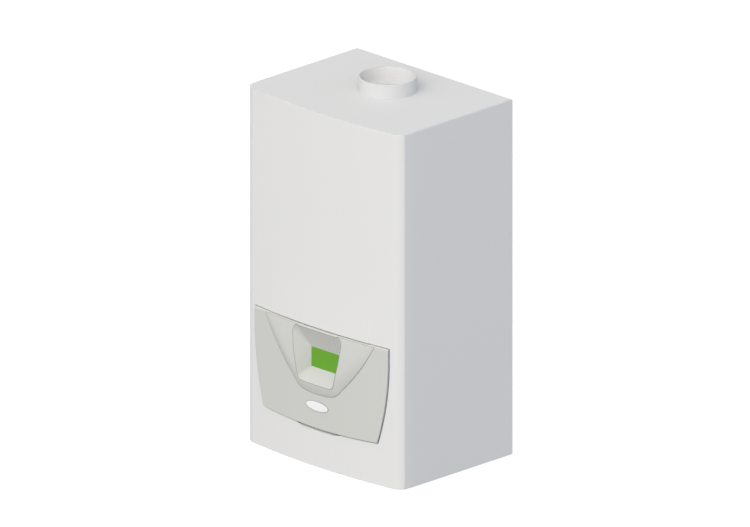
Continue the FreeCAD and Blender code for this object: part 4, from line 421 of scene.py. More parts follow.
class StageSettings(bpy.types.PropertyGroup):
    key: bpy.props.FloatVectorProperty(
        name="Key direction", description="Where the main soft light comes from", subtype="DIRECTION",
        default=(0.30, -0.83, 0.47))
    sky: light_setting("Sky", "Soft light from the key's side of the sky", 1.16, 1.16, 1.16)
    shade: light_setting("Shade", "Soft light from the far side of the sky", 0.0, 0.01, 0.02)
    sun: bpy.props.FloatProperty(
        name="Sun", description="Strength of the lamp within the soft light", default=1.2, min=0.0)
    fill: light_setting("Fill", "Cool light from the far right", 0.12, 0.27, 0.49)
    drop: length_setting("Floor drop", "Height of the boiler's lowest point above the floor", 1.0)
    view_width: length_setting("View width", "Width that the camera takes in", 1.3646)


# Nodes and finishes

def add_node(tree, kind, values=None, **settings):
    """A node with values or sockets on its inputs; a list feeds one input from several sockets."""
    node = tree.nodes.new(kind)
    for label, value in settings.items():
        setattr(node, label, value)
    for label, value in (values or {}).items():
        for single in value if isinstance(value, list) else [value]:
            if isinstance(single, bpy.types.NodeSocket):
                tree.links.new(single, node.inputs[label])
            else:
                node.inputs[label].default_value = single
    return node


def math_node(tree, operation, first, second):
    """The result of a sum on two values or sockets."""
    return add_node(tree, "ShaderNodeMath", {0: first, 1: second}, operation=operation).outputs[0]


def object_place(tree):
    """The place on the object's own axes."""
    return add_node(tree, "ShaderNodeTexCoord").outputs["Object"]


def noise(tree, scale, detail):
    """Noise from 0 to 1."""
    values = {"Vector": object_place(tree), "Scale": scale, "Detail": detail}
    return add_node(tree, "ShaderNodeTexNoise", values).outputs["Fac"]


def group(name, inputs, outputs):
    """A shader node group with named sockets; gives its tree, what enters it and what leaves it."""
    tree = bpy.data.node_groups.new(name, "ShaderNodeTree")
    for way, labels in (("INPUT", inputs), ("OUTPUT", outputs)):
        for label in labels:
            kind = "NodeSocketColor" if label == "Colour" else "NodeSocketFloat"
            tree.interface.new_socket(label, in_out=way, socket_type=kind)
    return tree, tree.nodes.new("NodeGroupInput").outputs, tree.nodes.new("NodeGroupOutput").inputs


def swing(tree, value, amount):
    """A value from 0 to 1 as a swing about zero."""
    return math_node(tree, "MULTIPLY", math_node(tree, "SUBTRACT", value, 0.5), amount)


def toned(tree, colour, patches, amount):
    """A colour made lighter and darker by patches."""
    value = math_node(tree, "ADD", swing(tree, patches, amount), 1.0)
    return add_node(tree, "ShaderNodeHueSaturation", {"Value": value, "Color": colour}).outputs["Color"]


def tone_drift(name):
    """Slow drift of tone over a surface, and a finer one of its gloss."""
    tree, enter, leave = group(
        name, ("Colour", "Drift", "Patches", "Roughness", "Spread"), ("Colour", "Roughness"))
    patches = noise(tree, enter["Patches"], PATCH_DETAIL)
    tree.links.new(toned(tree, enter["Colour"], patches, enter["Drift"]), leave["Colour"])
    finer = math_node(tree, "MULTIPLY", enter["Patches"], GLOSS_FINER)
    gloss = noise(tree, finer, GLOSS_DETAIL)
    rough = math_node(tree, "ADD", swing(tree, gloss, enter["Spread"]), enter["Roughness"])
    tree.links.new(rough, leave["Roughness"])
    return tree


def surface_grain(name):
    """Fine relief: the peel of a paint, the texture of a mould or the skin of a casting."""
    tree, enter, leave = group(name, ("Scale",), ("Height",))
    tree.links.new(noise(tree, enter["Scale"], GRAIN_DETAIL), leave["Height"])
    return tree


def zinc_spangle(name):
    """Crystal patches of hot-dip zinc, each with its own tone."""
    tree, enter, leave = group(name, ("Colour", "Scale", "Contrast"), ("Colour",))
    cells = add_node(tree, "ShaderNodeTexVoronoi", {"Vector": object_place(tree), "Scale": enter["Scale"]})
    split = add_node(tree, "ShaderNodeSeparateColor", {"Color": cells.outputs["Color"]})
    tree.links.new(toned(tree, enter["Colour"], split.outputs[0], enter["Contrast"]), leave["Colour"])
    return tree


def place_group(tree, make, values):
    """What leaves a shader group, which is made the first time that it is needed."""
    name = make.__name__.replace("_", " ").capitalize()
    source = bpy.data.node_groups.get(name) or make(name)
    return add_node(tree, "ShaderNodeGroup", values, node_tree=source).outputs


def linear(colour, dim):
    """Screen shares, dimmed, as the linear values that shaders take."""
    return (*(Color(colour).from_srgb_to_scene_linear() * dim), 1.0)


def finish(name):
    """The material of a look, made the first time that it is needed."""
    label = f"{name}_finish"
    if label in bpy.data.materials:
        return bpy.data.materials[label]
    look = LOOKS[name]
    if isinstance(look.colour, str):
        colour = bpy.context.scene.path_resolve(look.colour)
    else:
        colour = screen(*look.colour)
    material = bpy.data.materials.new(label)
    material.use_nodes = True
    tree = material.node_tree
    shader = tree.nodes["Principled BSDF"].inputs
    shader["Metallic"].default_value = look.metallic
    shader["Specular IOR Level"].default_value = look.gleam
    shader["Transmission Weight"].default_value = look.clear
    shader["Emission Strength"].default_value = look.glow
    tones = place_group(tree, tone_drift, {
        "Colour": linear(colour, look.dim), "Drift": look.drift[0], "Patches": look.drift[1],
        "Roughness": look.roughness, "Spread": look.spread})
    tone = tones["Colour"]
    if look.spangle:
        zinc = {"Colour": tone, "Scale": look.spangle[0], "Contrast": look.spangle[1]}
        tone = place_group(tree, zinc_spangle, zinc)["Colour"]
    relief = place_group(tree, surface_grain, {"Scale": 1 / (look.grain[0] * MM)})["Height"]
    bump = add_node(tree, "ShaderNodeBump", {"Height": relief, "Distance": look.grain[1] * MM})
    tree.links.new(tone, shader["Base Color"])
    tree.links.new(tones["Roughness"], shader["Roughness"])
    tree.links.new(bump.outputs["Normal"], shader["Normal"])
    if look.glow:
        tree.links.new(tone, shader["Emission Color"])
    return material


# Mesh building

def placed(name, data):
    """A new object in the scene."""
    made = bpy.data.objects.new(name, data)
    bpy.context.scene.collection.objects.link(made)
    return made


def weld(mesh, flat=0.0):
    """Merges a mesh's doubled points, and its faces that are flat to each other within an angle."""
    form = bmesh.new()
    form.from_mesh(mesh)
    bmesh.ops.remove_doubles(form, verts=form.verts, dist=WELD)
    if flat:
        bmesh.ops.dissolve_limit(form, angle_limit=flat, verts=form.verts, edges=form.edges)
    form.to_mesh(mesh)
    form.free()
    return mesh


class Sheet:
    """Rows of points and the faces between them, each face with a mark for its finish."""

    def __init__(self):
        self.points = []
        self.faces = []
        self.marks = []

    def row(self, places):
        start = len(self.points)
        self.points.extend(places)
        return range(start, len(self.points))

    def strip(self, low, high, closed=False, mark=0):
        """Quads between two rows of equal length, seen from outside with the second row above."""
        count = len(low)
        for i in range(count if closed else count - 1):
            j = (i + 1) % count
            self.faces.append((low[i], low[j], high[j], high[i]))
            self.marks.append(mark)

    def grid(self, rows, closed=False, marks=None):
        """Strips between rows of places, each with its mark."""
        rows = [self.row(places) for places in rows]
        for i, (low, high) in enumerate(zip(rows, rows[1:])):
            self.strip(low, high, closed, marks[i] if marks else 0)
        return rows

    def cap(self, row):
        self.faces.append(tuple(row))
        self.marks.append(0)

    def solid(self, rows, marks=None):
        """A closed form of rings, with a cap at each end."""
        made = self.grid(rows, closed=True, marks=marks)
        self.cap(reversed(made[0]))
        self.cap(made[-1])

    def box(self, x, depth, height):
        """A block between pairs of X, depth and height."""
        corners = [(x[0], depth[1]), (x[1], depth[1]), (x[1], depth[0]), (x[0], depth[0])]
        self.solid([[at(*corner, z) for corner in corners] for z in height])

    def piece(self, name):
        mesh = bpy.data.meshes.new(name)
        mesh.from_pydata(self.points, [], self.faces)
        mesh.polygons.foreach_set("material_index", self.marks)
        return placed(name, weld(mesh))


def final_mesh(piece):
    """A piece's mesh with its modifiers done."""
    graph = bpy.context.evaluated_depsgraph_get()
    return bpy.data.meshes.new_from_object(piece.evaluated_get(graph))


def settle(piece):
    """Turns a piece's modifiers into its plain mesh."""
    mesh = final_mesh(piece)
    piece.modifiers.clear()
    piece.data = mesh
    return piece


def smooth(piece, rounding=0.0):
    """Smooth shading with crisp edges, which are rounded first where a size in metres is given."""
    piece.data.shade_smooth()
    piece.data.set_sharp_from_angle(angle=SMOOTH_ANGLE)
    if rounding:
        bevel = piece.modifiers.new("Rounded edges", "BEVEL")
        bevel.width = rounding
        bevel.segments = BEVEL_STEPS
        bevel.limit_method = "ANGLE"
        bevel.angle_limit = BEVEL_ANGLE
        bevel.use_clamp_overlap = True
    weights = piece.modifiers.new("Face weights", "WEIGHTED_NORMAL")
    weights.keep_sharp = True
    return settle(piece)


def thicken(piece, wall, even=True):
    """Gives a skin its wall, inwards."""
    solid = piece.modifiers.new("Wall", "SOLIDIFY")
    solid.thickness = wall * MM
    solid.offset = -1.0
    solid.use_even_offset = even
    return settle(piece)


def join_pieces(name, pieces):
    """One piece from several."""
    form = bmesh.new()
    for piece in pieces:
        form.from_mesh(piece.data)
        bpy.data.objects.remove(piece)
    mesh = bpy.data.meshes.new(name)
    form.to_mesh(mesh)
    form.free()
    return placed(name, mesh)


def seat(piece, looks, body, slot, *nodes):
    """Gives a finished piece its finishes and body, and hides the nodes that it stands for; the slot is not
    used.
    """
    mesh = piece.data
    marks = [0] * len(mesh.polygons)
    mesh.polygons.foreach_get("material_index", marks)
    mesh.materials.clear()
    for look in looks:
        mesh.materials.append(finish(look))
    mesh.polygons.foreach_set("material_index", [min(mark, len(looks) - 1) for mark in marks])
    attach(piece, body)
    if nodes:
        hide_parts(*nodes)


def dress(look, rounding, *nodes, slot=""):
    """Welded, smooth-shaded copies of nodes with rounded edges, in their places."""
    for node in nodes:
        source = frame["nodes"][node]
        mesh = source.data.copy()
        if "custom_normal" in mesh.attributes:
            mesh.attributes.remove(mesh.attributes["custom_normal"])
        piece = placed(f"{node}_finished", weld(mesh, FLAT_ANGLE))
        seat(smooth(piece, rounding * MM), [look], source["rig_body"], slot or look, node)


# Repeated forms

class Repeat:
    """A geometry node tree in the making, which sets one form at each of a mesh's points."""

    def __init__(self, name, *numbers):
        self.tree = bpy.data.node_groups.new(name, "GeometryNodeTree")
        kinds = {"Geometry": "NodeSocketGeometry", "Material": "NodeSocketMaterial"}
        kinds.update((label, "NodeSocketFloat") for label in numbers)
        self.ids = {}
        for label, kind in kinds.items():
            socket = self.tree.interface.new_socket(label, in_out="INPUT", socket_type=kind)
            self.ids[label] = socket.identifier
        self.tree.interface.new_socket("Geometry", in_out="OUTPUT", socket_type="NodeSocketGeometry")
        self.enter = self.tree.nodes.new("NodeGroupInput").outputs
        self.leave = self.tree.nodes.new("NodeGroupOutput").inputs

    def add(self, kind, values, **settings):
        return add_node(self.tree, kind, values, **settings).outputs[0]

    def vector(self, x=0.0, y=0.0, z=0.0):
        return self.add("ShaderNodeCombineXYZ", {"X": x, "Y": y, "Z": z})

    def drum(self, sides, top, low, height):
        """A cone or cylinder standing on the origin, by the labels of its sizes."""
        return self.add("GeometryNodeMeshCone", {
            "Vertices": sides, "Radius Top": self.enter[top], "Radius Bottom": self.enter[low],
            "Depth": self.enter[height]})

    def move(self, form, shift=(0.0, 0.0, 0.0), turn=(0.0, 0.0, 0.0)):
        return self.add("GeometryNodeTransform", {"Geometry": form, "Translation": shift, "Rotation": turn})

    def join(self, *forms):
        return self.add("GeometryNodeJoinGeometry", {"Geometry": list(forms)})

    def end(self, form, rotation=(0.0, 0.0, 0.0)):
        """Sets the form at the points and gives it its material."""
        placed_forms = self.add("GeometryNodeInstanceOnPoints", {
            "Points": self.enter["Geometry"], "Instance": form, "Rotation": rotation})
        whole = self.add("GeometryNodeRealizeInstances", {"Geometry": placed_forms})
        painted = self.add("GeometryNodeSetMaterial", {
            "Geometry": whole, "Material": self.enter["Material"]})
        self.tree.links.new(painted, self.leave["Geometry"])
        return self

    def piece(self, name, places, values, look, rounding=0.0):
        """The repeated form as a plain mesh; values are in millimetres."""
        mesh = bpy.data.meshes.new(name)
        mesh.from_pydata(places, [], [])
        made = placed(name, mesh)
        modifier = made.modifiers.new("Repeat", "NODES")
        modifier.node_group = self.tree
        modifier[self.ids["Material"]] = finish(look)
        for label, value in values.items():
            modifier[self.ids[label]] = value * MM
        return smooth(settle(made), rounding * MM)


def cross_head_screw():
    """A raised screw head with a cross recess, facing the front."""
    tree = Repeat("Cross-head screw", *SCREW)
    enter = tree.enter
    rim = tree.drum(HEAD_SIDES, "Radius", "Radius", "Rim")
    dome = tree.drum(HEAD_SIDES, "Crown Radius", "Radius", "Dome")
    dome = tree.move(dome, tree.vector(z=enter["Rim"]))
    head = tree.add("GeometryNodeMeshBoolean", {"Mesh 2": [rim, dome]}, operation="UNION")
    size = tree.vector(enter["Slot Length"], enter["Slot Width"], enter["Slot Depth"])
    top = math_node(tree.tree, "ADD", enter["Rim"], enter["Dome"])
    slot = tree.move(tree.add("GeometryNodeMeshCube", {"Size": size}), tree.vector(z=top))
    cuts = [slot, tree.move(slot, turn=QUARTER)]
    head = tree.add("GeometryNodeMeshBoolean", {"Mesh 1": head, "Mesh 2": cuts}, operation="DIFFERENCE")
    return tree.end(head, TO_FRONT)


def washered_nut():
    """A hexagon nut on a washer, with its stud's end."""
    tree = Repeat("Washered nut", *NUT)
    washer = tree.drum(HEAD_SIDES, "Washer Radius", "Washer Radius", "Washer")
    nut = tree.drum(NUT_SIDES, "Nut Radius", "Nut Radius", "Nut Height")
    nut = tree.move(nut, tree.vector(z=tree.enter["Washer"]))
    stud = tree.drum(ROD_SIDES, "Stud Radius", "Stud Radius", "Stud Height")
    return tree.end(tree.join(washer, nut, stud))


def ball_stud():
    """A stud with a ball at its rear end, which snaps into a clip."""
    tree = Repeat("Ball stud", "Length", *STUD)
    ball = tree.add("GeometryNodeMeshUVSphere", {
        "Segments": BALL_SEGMENTS, "Rings": BALL_RINGS, "Radius": tree.enter["Ball Radius"]})
    rod = tree.drum(ROD_SIDES, "Rod Radius", "Rod Radius", "Length")
    return tree.end(tree.join(ball, rod), TO_FRONT)


# Casing

def bow_depth(x, proud=0.0):
    """Depth from the wall of the bowed front, or of a surface proud of it."""
    return math.sqrt((BOW_R + proud) ** 2 - x * x) - BOW_Y


def ease_x(depth, inset):
    """X of the side wall, which eases in a little towards the front crease."""
    radius = ((CREASE_DEPTH - EASE_DEPTH) ** 2 + CREASE_IN ** 2) / (2 * CREASE_IN)
    forward = max(0.0, depth - EASE_DEPTH)
    return CASING_W / 2 - radius + math.sqrt((radius - inset) ** 2 - forward ** 2)


def corner_and_side(inset):
    """Plan points from the end of the bow, round the front corner to its crease, and back along the side."""
    crease = Vector((CASING_W / 2 - CREASE_IN, CREASE_DEPTH + BOW_Y))
    reach = BOW_R - ROLL_R
    apart = math.acos((reach ** 2 + crease.length_squared - ROLL_R ** 2) / (2 * reach * crease.length))
    lean = math.atan2(crease.x, crease.y) - apart
    centre = Vector((math.sin(lean), math.cos(lean))) * reach
    end = math.atan2(crease.x - centre.x, crease.y - centre.y)
    points = []
    for turn in spaced(lean, end, ROLL_STEP):
        depth = centre.y - BOW_Y + (ROLL_R - inset) * math.cos(turn)
        x = centre.x + (ROLL_R - inset) * math.sin(turn)
        points.append((min(x, ease_x(depth, inset)), depth))
    front = points[-1][1]
    eased = [front + (EASE_DEPTH - front) * share for share in shares(EASE_STEPS)[1:]]
    for depth in eased + spaced(EASE_DEPTH, WALL_GAP, SIDE_STEP)[1:]:
        points.append((ease_x(depth, inset), depth))
    return points


def side_arc_x(height, grow):
    """X of the door's side arc, grown outwards, at a height below the knee."""
    middle = ((DOOR_HALF_TOP + DOOR_HALF_FOOT) / 2, (DOOR_KNEE + DOOR_CORNER) / 2)
    across, down = DOOR_HALF_TOP - DOOR_HALF_FOOT, DOOR_KNEE - DOOR_CORNER
    chord = math.hypot(across, down)
    reach = math.sqrt(DOOR_SIDE_R ** 2 - chord ** 2 / 4)
    centre = (middle[0] - reach * down / chord, middle[1] + reach * across / chord)
    return centre[0] + math.sqrt((DOOR_SIDE_R + grow) ** 2 - (height - centre[1]) ** 2)


def low_arc_z(x, grow):
    """Height of the door's bottom arc, grown downwards."""
    return DOOR_LOW + DOOR_LOW_R - math.sqrt((DOOR_LOW_R + grow) ** 2 - x * x)


def low_corner(grow):
    """Where the door's side and bottom arcs meet, found by going from one to the other."""
    height = DOOR_CORNER - grow
    for _ in range(MEETING_ROUNDS):
        height = low_arc_z(side_arc_x(height, grow), grow)
    return side_arc_x(height, grow), height


def scoop_z(x):
    """Height of the scoop's lower edge."""
    return SCOOP_LOW + SCOOP_R - math.sqrt(SCOOP_R ** 2 - x * x)


def cut_floor(x):
    """Lower edge of the casing's door opening."""
    edge = low_arc_z(x, DOOR_GAP)
    return min(edge, scoop_z(x)) if abs(x) < SCOOP_HALF else edge


def under_brow(x):
    """Whether a place across the front lies within the brow."""
    return abs(x) <= BROW_HALF - BROW_STEP / 2


def brow(x, height):
    """How far the casing stands out above the door."""
    left = 1 - (height - DOOR_TOP - DOOR_TOP_GAP) / BROW_FADE
    return BROW_PROUD * left ** BROW_POWER if under_brow(x) and left > 0 else 0.0


def both_sides(half):
    """Values from zero outwards, and their mirrored ones before them."""
    return [-x for x in half[:0:-1]] + half


def casing_skin():
    """The casing's sheet: its sides, the front under the door and the front above it."""
    skin = Sheet()
    foot_x, foot_z = low_corner(DOOR_GAP)
    jamb = side_arc_x(DOOR_KNEE, DOOR_GAP)
    lintel = DOOR_TOP + DOOR_GAP
    corner = corner_and_side(0.0)
    roll = corner[0][0]
    levels = [(foot_x, foot_z * share) for share in shares(LOW_LEVELS)]
    levels += [(side_arc_x(z, DOOR_GAP), z) for z in spaced(foot_z, DOOR_KNEE, JAMB_STEP)[1:-1]]
    levels += [(jamb, z) for z in (DOOR_KNEE, (DOOR_KNEE + lintel) / 2, lintel, *UPPER_LEVELS)]
    for flip in (1, -1):
        rows = []
        for start, z in levels:
            front = [(x, bow_depth(x)) for x in spaced(start, roll, (roll - start) / SIDE_COLUMNS)[:-1]]
            rows.append([at(flip * x, depth, z) for x, depth in (front + corner)[::flip]])
        skin.grid(rows)
    half = spaced(0.0, SCOOP_KINK, SCOOP_COLUMN) + spaced(SCOOP_KINK, foot_x, FOOT_COLUMN)[1:]
    columns = both_sides(half)
    skin.grid([[at(x, bow_depth(x), cut_floor(x) * share) for x in columns] for share in shares(LOW_LEVELS)])
    half = spaced(0.0, BROW_HALF - BROW_STEP, BROW_COLUMN) + spaced(BROW_HALF, jamb, JAMB_COLUMN)
    columns = both_sides(half)
    edge = [DOOR_TOP + DOOR_TOP_GAP if under_brow(x) else lintel for x in columns]
    rows = []
    for heights in [edge] + [[z] * len(columns) for z in UPPER_LEVELS]:
        rows.append([at(x, bow_depth(x) + brow(x, z), z) for x, z in zip(columns, heights)])
    skin.grid(rows)
    return thicken(skin.piece("front_casing_skin"), SHEET)


def plan_line(inset):
    """The casing's whole plan outline, drawn in, from rear left to rear right."""
    turn = corner_and_side(inset)
    half = turn[0][0]
    front = [(x, bow_depth(x, -inset)) for x in spaced(-half, half, half / PLAN_STEPS)]
    return [(-x, depth) for x, depth in turn[:0:-1]] + front + turn[1:]


def turned_flange(name, low):
    """The sheet's edge turned inwards, from a height up."""
    ring = Sheet()
    outer, inner = plan_line(FLANGE_LAP), plan_line(SHEET + FLANGE_W)
    high = low + SHEET
    loop = [(outer, low), (outer, high), (inner, high), (inner, low)]
    rows = ring.grid([[at(x, depth, z) for x, depth in line] for line, z in loop])
    ring.strip(rows[-1], rows[0])
    ring.cap([row[0] for row in rows])
    ring.cap([row[-1] for row in reversed(rows)])
    return ring.piece(name)


# Control door

def three_point_arc(first, middle, last, steps):
    """Points of the arc through three points, without its last."""
    (ax, ay), (bx, by), (cx, cy) = first, middle, last
    d = 2 * (ax * (by - cy) + bx * (cy - ay) + cx * (ay - by))
    a2, b2, c2 = ax * ax + ay * ay, bx * bx + by * by, cx * cx + cy * cy
    ux = (a2 * (by - cy) + b2 * (cy - ay) + c2 * (ay - by)) / d
    uy = (a2 * (cx - bx) + b2 * (ax - cx) + c2 * (bx - ax)) / d
    radius = math.hypot(ax - ux, ay - uy)
    start = math.atan2(ay - uy, ax - ux)
    sweep = math.remainder(math.atan2(cy - uy, cx - ux) - start, TURN)
    turns = [start + sweep * share for share in shares(steps)[:-1]]
    return [(ux + radius * math.cos(t), uy + radius * math.sin(t)) for t in turns]


def shield_loop():
    """The shield's V outline, clockwise from its top right corner."""
    arcs = zip((SHIELD_SIDE, SHIELD_HEEL, SHIELD_FOOT), SHIELD_STEPS)
    side, heel, foot = [three_point_arc(*arc, steps) for arc, steps in arcs]
    right = side + heel
    return right + foot + [(-x, z) for x, z in [SHIELD_FOOT[0]] + right[::-1]]


def door_loop():
    """The door's outline, clockwise from its top right corner."""
    foot_x, foot_z = low_corner(0.0)
    right = [(DOOR_HALF_TOP, DOOR_TOP)]
    right += [(side_arc_x(z, 0.0), z) for z in spaced(DOOR_KNEE, foot_z, DOOR_SIDE_STEP)]
    right += [(x, low_arc_z(x, 0.0)) for x in spaced(foot_x, 0.0, DOOR_LOW_STEP)[1:]]
    return right + [(-x, z) for x, z in right[-2::-1]]


def rounded_polygon(corners, radii, steps):
    """A polygon's outline with its corners rounded, each in as many steps."""
    points = []
    for i, (corner, radius) in enumerate(zip(corners, radii)):
        here = Vector(corner)
        back = (Vector(corners[i - 1]) - here).normalized()
        ahead = (Vector(corners[(i + 1) % len(corners)]) - here).normalized()
        half = back.angle(ahead) / 2
        middle = here + (back + ahead).normalized() * (radius / math.sin(half))
        start, end = [here + way * (radius / math.tan(half)) for way in (back, ahead)]
        nearest = middle + (here - middle).normalized() * radius
        points += three_point_arc(start, nearest, end, steps) + [tuple(end)]
    return points


def turn_of(point):
    """Angle of a point about the window's middle."""
    return math.atan2(point[1] - DOOR_CENTRE[1], point[0] - DOOR_CENTRE[0]) % TURN


def ray_turns(corners):
    """Angles of the rays that the door's points lie on: one through each corner, and even ones between."""
    keys = sorted({round(turn_of((flip * x, z)), 4) for x, z in corners for flip in (1, -1)})
    keys = [turn for turn, last in zip(keys, [-1.0] + keys) if turn - last > KEY_APART]
    return sorted(keys + [turn for turn in around(RAYS) if min(abs(turn - key) for key in keys) > RAY_APART])


def on_rays(loop, turns):
    """Where rays from the window's middle, at each angle, first cross a loop."""
    hits = []
    for turn in turns:
        ray = (math.cos(turn), math.sin(turn))
        reaches = []
        for (ax, az), (bx, bz) in zip(loop, loop[1:] + loop[:1]):
            px, pz, qx, qz = ax - DOOR_CENTRE[0], az - DOOR_CENTRE[1], bx - ax, bz - az
            cross = ray[0] * qz - ray[1] * qx
            if abs(cross) < PARALLEL:
                continue
            along = (px * qz - pz * qx) / cross
            share = (px * ray[1] - pz * ray[0]) / cross
            if along > 0 and -SLACK <= share <= 1 + SLACK:
                reaches.append(along)
        hits.append(tuple(middle + way * min(reaches) for middle, way in zip(DOOR_CENTRE, ray)))
    return hits


def between(first, second, share):
    """Points a share of the way from one line of points to another."""
    return [(a[0] + (b[0] - a[0]) * share, a[1] + (b[1] - a[1]) * share) for a, b in zip(first, second)]


def led_to_screen(point, mouth):
    """Where the funnel leads a point of its mouth: each rounded corner to one corner of the screen."""
    steps = len(mouth) // len(MOUTH)
    starts = [i * steps for i, r in enumerate(MOUTH_R) if r < MOUTH_KNEE_R]
    arcs = [(mouth[i], mouth[i + steps - 1]) for i in starts]
    for k, (start, end) in enumerate(arcs):
        ahead = (k + 1) % len(arcs)
        goal = arcs[ahead][0]
        turned, arc, reach = [(turn_of(p) - turn_of(start)) % TURN for p in (point, end, goal)]
        if turned <= arc or turned > TURN - TURN_SLACK:
            return SCREEN[k]
        if turned < reach:
            gone, left = math.dist(point, end), math.dist(point, goal)
            return between([SCREEN[k]], [SCREEN[ahead]], gone / (gone + left))[0]
    raise ValueError(f"no corner of the screen for {point}")


def moved_out(ring, distance):
    """A ring of points moved square to itself, outwards."""
    moved = []
    for i, point in enumerate(ring):
        here, after = Vector(point), Vector(ring[(i + 1) % len(ring)])
        into, on = (here - Vector(ring[i - 1])).normalized(), (after - here).normalized()
        normal = Vector((into.y + on.y, -into.x - on.x)).normalized()
        stretch = max(LEAST_STRETCH, normal.dot(Vector((on.y, -on.x))))
        moved.append(tuple(here + normal * (distance / stretch)))
    return moved


def shield_profile(height):
    """How far the shield's crown stands out from the casing, on a smooth curve through three heights."""
    total = 0.0
    for z, proud in SHIELD_PROUD:
        others = [other for other, _ in SHIELD_PROUD if other != z]
        total += proud * math.prod((height - other) / (z - other) for other in others)
    return max(DOOR_PROUD, total) if height < SHIELD_PROUD[-1][0] else DOOR_PROUD


def distance_to(line, x, z):
    """Least distance from a point to a line of points."""
    lengths = []
    for (ax, az), (bx, bz) in zip(line, line[1:]):
        dx, dz = bx - ax, bz - az
        share = ((x - ax) * dx + (z - az) * dz) / (dx * dx + dz * dz)
        share = min(1.0, max(0.0, share))
        lengths.append(math.hypot(x - ax - share * dx, z - az - share * dz))
    return min(lengths)


def door_depth(x, height):
    """Depth of the door's own surface, which curls back at its top edge."""
    depth = bow_depth(x, DOOR_PROUD)
    over = height - (DOOR_TOP - DOOR_EDGE_R)
    if over > 0:
        depth -= DOOR_EDGE_R - math.sqrt(max(0.0, DOOR_EDGE_R ** 2 - over ** 2))
    return depth


def door_shell(line):
    """The door in rings from its rim over the shield into the funnel, with a fine line sunk round both; the
    line and the rim's side wall are painted darker as shade.
    """
    shield, outline = shield_loop(), door_loop()
    mouth = rounded_polygon(MOUTH, MOUTH_R, MOUTH_STEPS)
    corners = mouth + [SHIELD_SIDE[0], SHIELD_HEEL[0], SHIELD_FOOT[0], *outline[:2]]
    turns = ray_turns(corners + [low_corner(0.0), (0.0, DOOR_TOP)])
    lip, crease, edge = [on_rays(loop, turns) for loop in (mouth, shield, outline)]

    def shield_depth(x, z):
        reach = min(1.0, distance_to(shield, x, z) / SHIELD_ROUND)
        return door_depth(x, z) + (shield_profile(z) - DOOR_PROUD) * (1 - (1 - reach) ** 2)

    rows = [[at(x, bow_depth(x, -DOOR_RIM), z) for x, z in edge]]
    for inset, back in DOOR_ROUND:
        ring = moved_out(edge, -inset)
        rows.append([at(x, min(door_depth(x, z), bow_depth(x, DOOR_PROUD) - back), z) for x, z in ring])
    field = (ring, moved_out(crease, line))
    for share in shares(DOOR_RINGS)[1:]:
        rows.append([at(x, door_depth(x, z), z) for x, z in between(*field, share)])
    lines = [len(rows)]
    rows.append([at(x, door_depth(x, z) - (line if z < LINE_FADE_Z else 0.0), z) for x, z in crease])
    crown = (moved_out(crease, -line), moved_out(lip, 2 * line))
    for share in shares(SHIELD_RINGS):
        rows.append([at(x, shield_depth(x, z), z) for x, z in between(*crown, share)])
    lines.append(len(rows))
    rows.append([at(x, shield_depth(x, z) - line, z) for x, z in moved_out(lip, line)])
    front = [at(x, shield_depth(x, z), z) for x, z in lip]
    rear = [led_to_screen(point, mouth) for point in lip]
    rear = [at(x, FUNNEL_DEPTH, z) for x, z in rear]
    rows += [[a.lerp(b, share) for a, b in zip(front, rear)] for share in shares(FUNNEL_RINGS)]
    shell = Sheet()
    # Mark 2 paints the rim's side wall and rounded edge darker, as painted shade of the gap round the door;
    # mark 1 paints the sunk line's faces darker, as painted shade in the groove.
    marks = [2 if i < len(DOOR_ROUND) else int(i in lines or i + 1 in lines) for i in range(len(rows))]
    rows = shell.grid(rows, closed=True, marks=marks)
    # Above the fade height the crease line is neither sunk nor painted darker.
    fade = at(0.0, 0.0, LINE_FADE_Z).z
    for i, face in enumerate(shell.faces):
        if face[0] < rows[lines[1] - 1][0] and min(shell.points[corner].z for corner in face) > fade:
            shell.marks[i] = 0
    return thicken(shell.piece("control_door_shell"), DOOR_WALL, even=False)


def cut_notches(shell):
    """Opens the door's top wall round the ears that carry the hinge rod."""
    tools = Sheet()
    for x in (-EAR_X, EAR_X):
        depth = (HINGE_DEPTH - NOTCH_DEEP, bow_depth(EAR_X))
        tools.box((x - EAR_NOTCH, x + EAR_NOTCH), depth, (HINGE_Z - LUG_R, DOOR_TOP + NOTCH_OVER))
    tools = tools.piece("hinge_notches")
    notch = shell.modifiers.new("Hinge notches", "BOOLEAN")
    notch.object = tools
    notch.solver = "EXACT"
    settle(shell)
    bpy.data.objects.remove(tools)
    return shell


# Gauge

def dial_place(clock, r, lift):
    """A place on the dial by its clock angle from the top, its radius and its lift off the face."""
    turn = math.radians(clock)
    return at(GAUGE_X + r * math.sin(turn), DIAL_DEPTH + lift, GAUGE_Z + r * math.cos(turn))


def dial_clock(share):
    """Clock angle of a share of the dial's scale."""
    return DIAL_SWEEP * (share - 0.5)


def dial_face():
    """The dial's round face, in rings."""
    face = Sheet()
    clocks = [-math.degrees(turn) for turn in around(DIAL_STEPS)]
    rings = [[dial_place(clock, r, DIAL_LIFT) for clock in clocks] for r in DIAL_RINGS]
    face.cap(face.grid(rings, closed=True)[-1])
    return smooth(face.piece("gauge_dial_face"))


def dial_marks():
    """Fine marks along the scale, with bolder ones at whole bars."""
    marks = Sheet()
    for i, share in enumerate(shares(MARKS_TO_BAR * DIAL_BARS)):
        clock = dial_clock(share)
        inner, half = FINE_MARK if i % MARKS_TO_BAR else BAR_MARK
        corners = [(clock + side * half, r) for side, r in
                   ((-1, MARK_OUTER), (1, MARK_OUTER), (1, inner), (-1, inner))]
        high, _ = marks.grid([[dial_place(*corner, lift) for corner in corners]
                              for lift in (MARK_LIFT, DIAL_LIFT)], closed=True)
        marks.cap(reversed(high))
    return marks.piece("gauge_dial_marks")


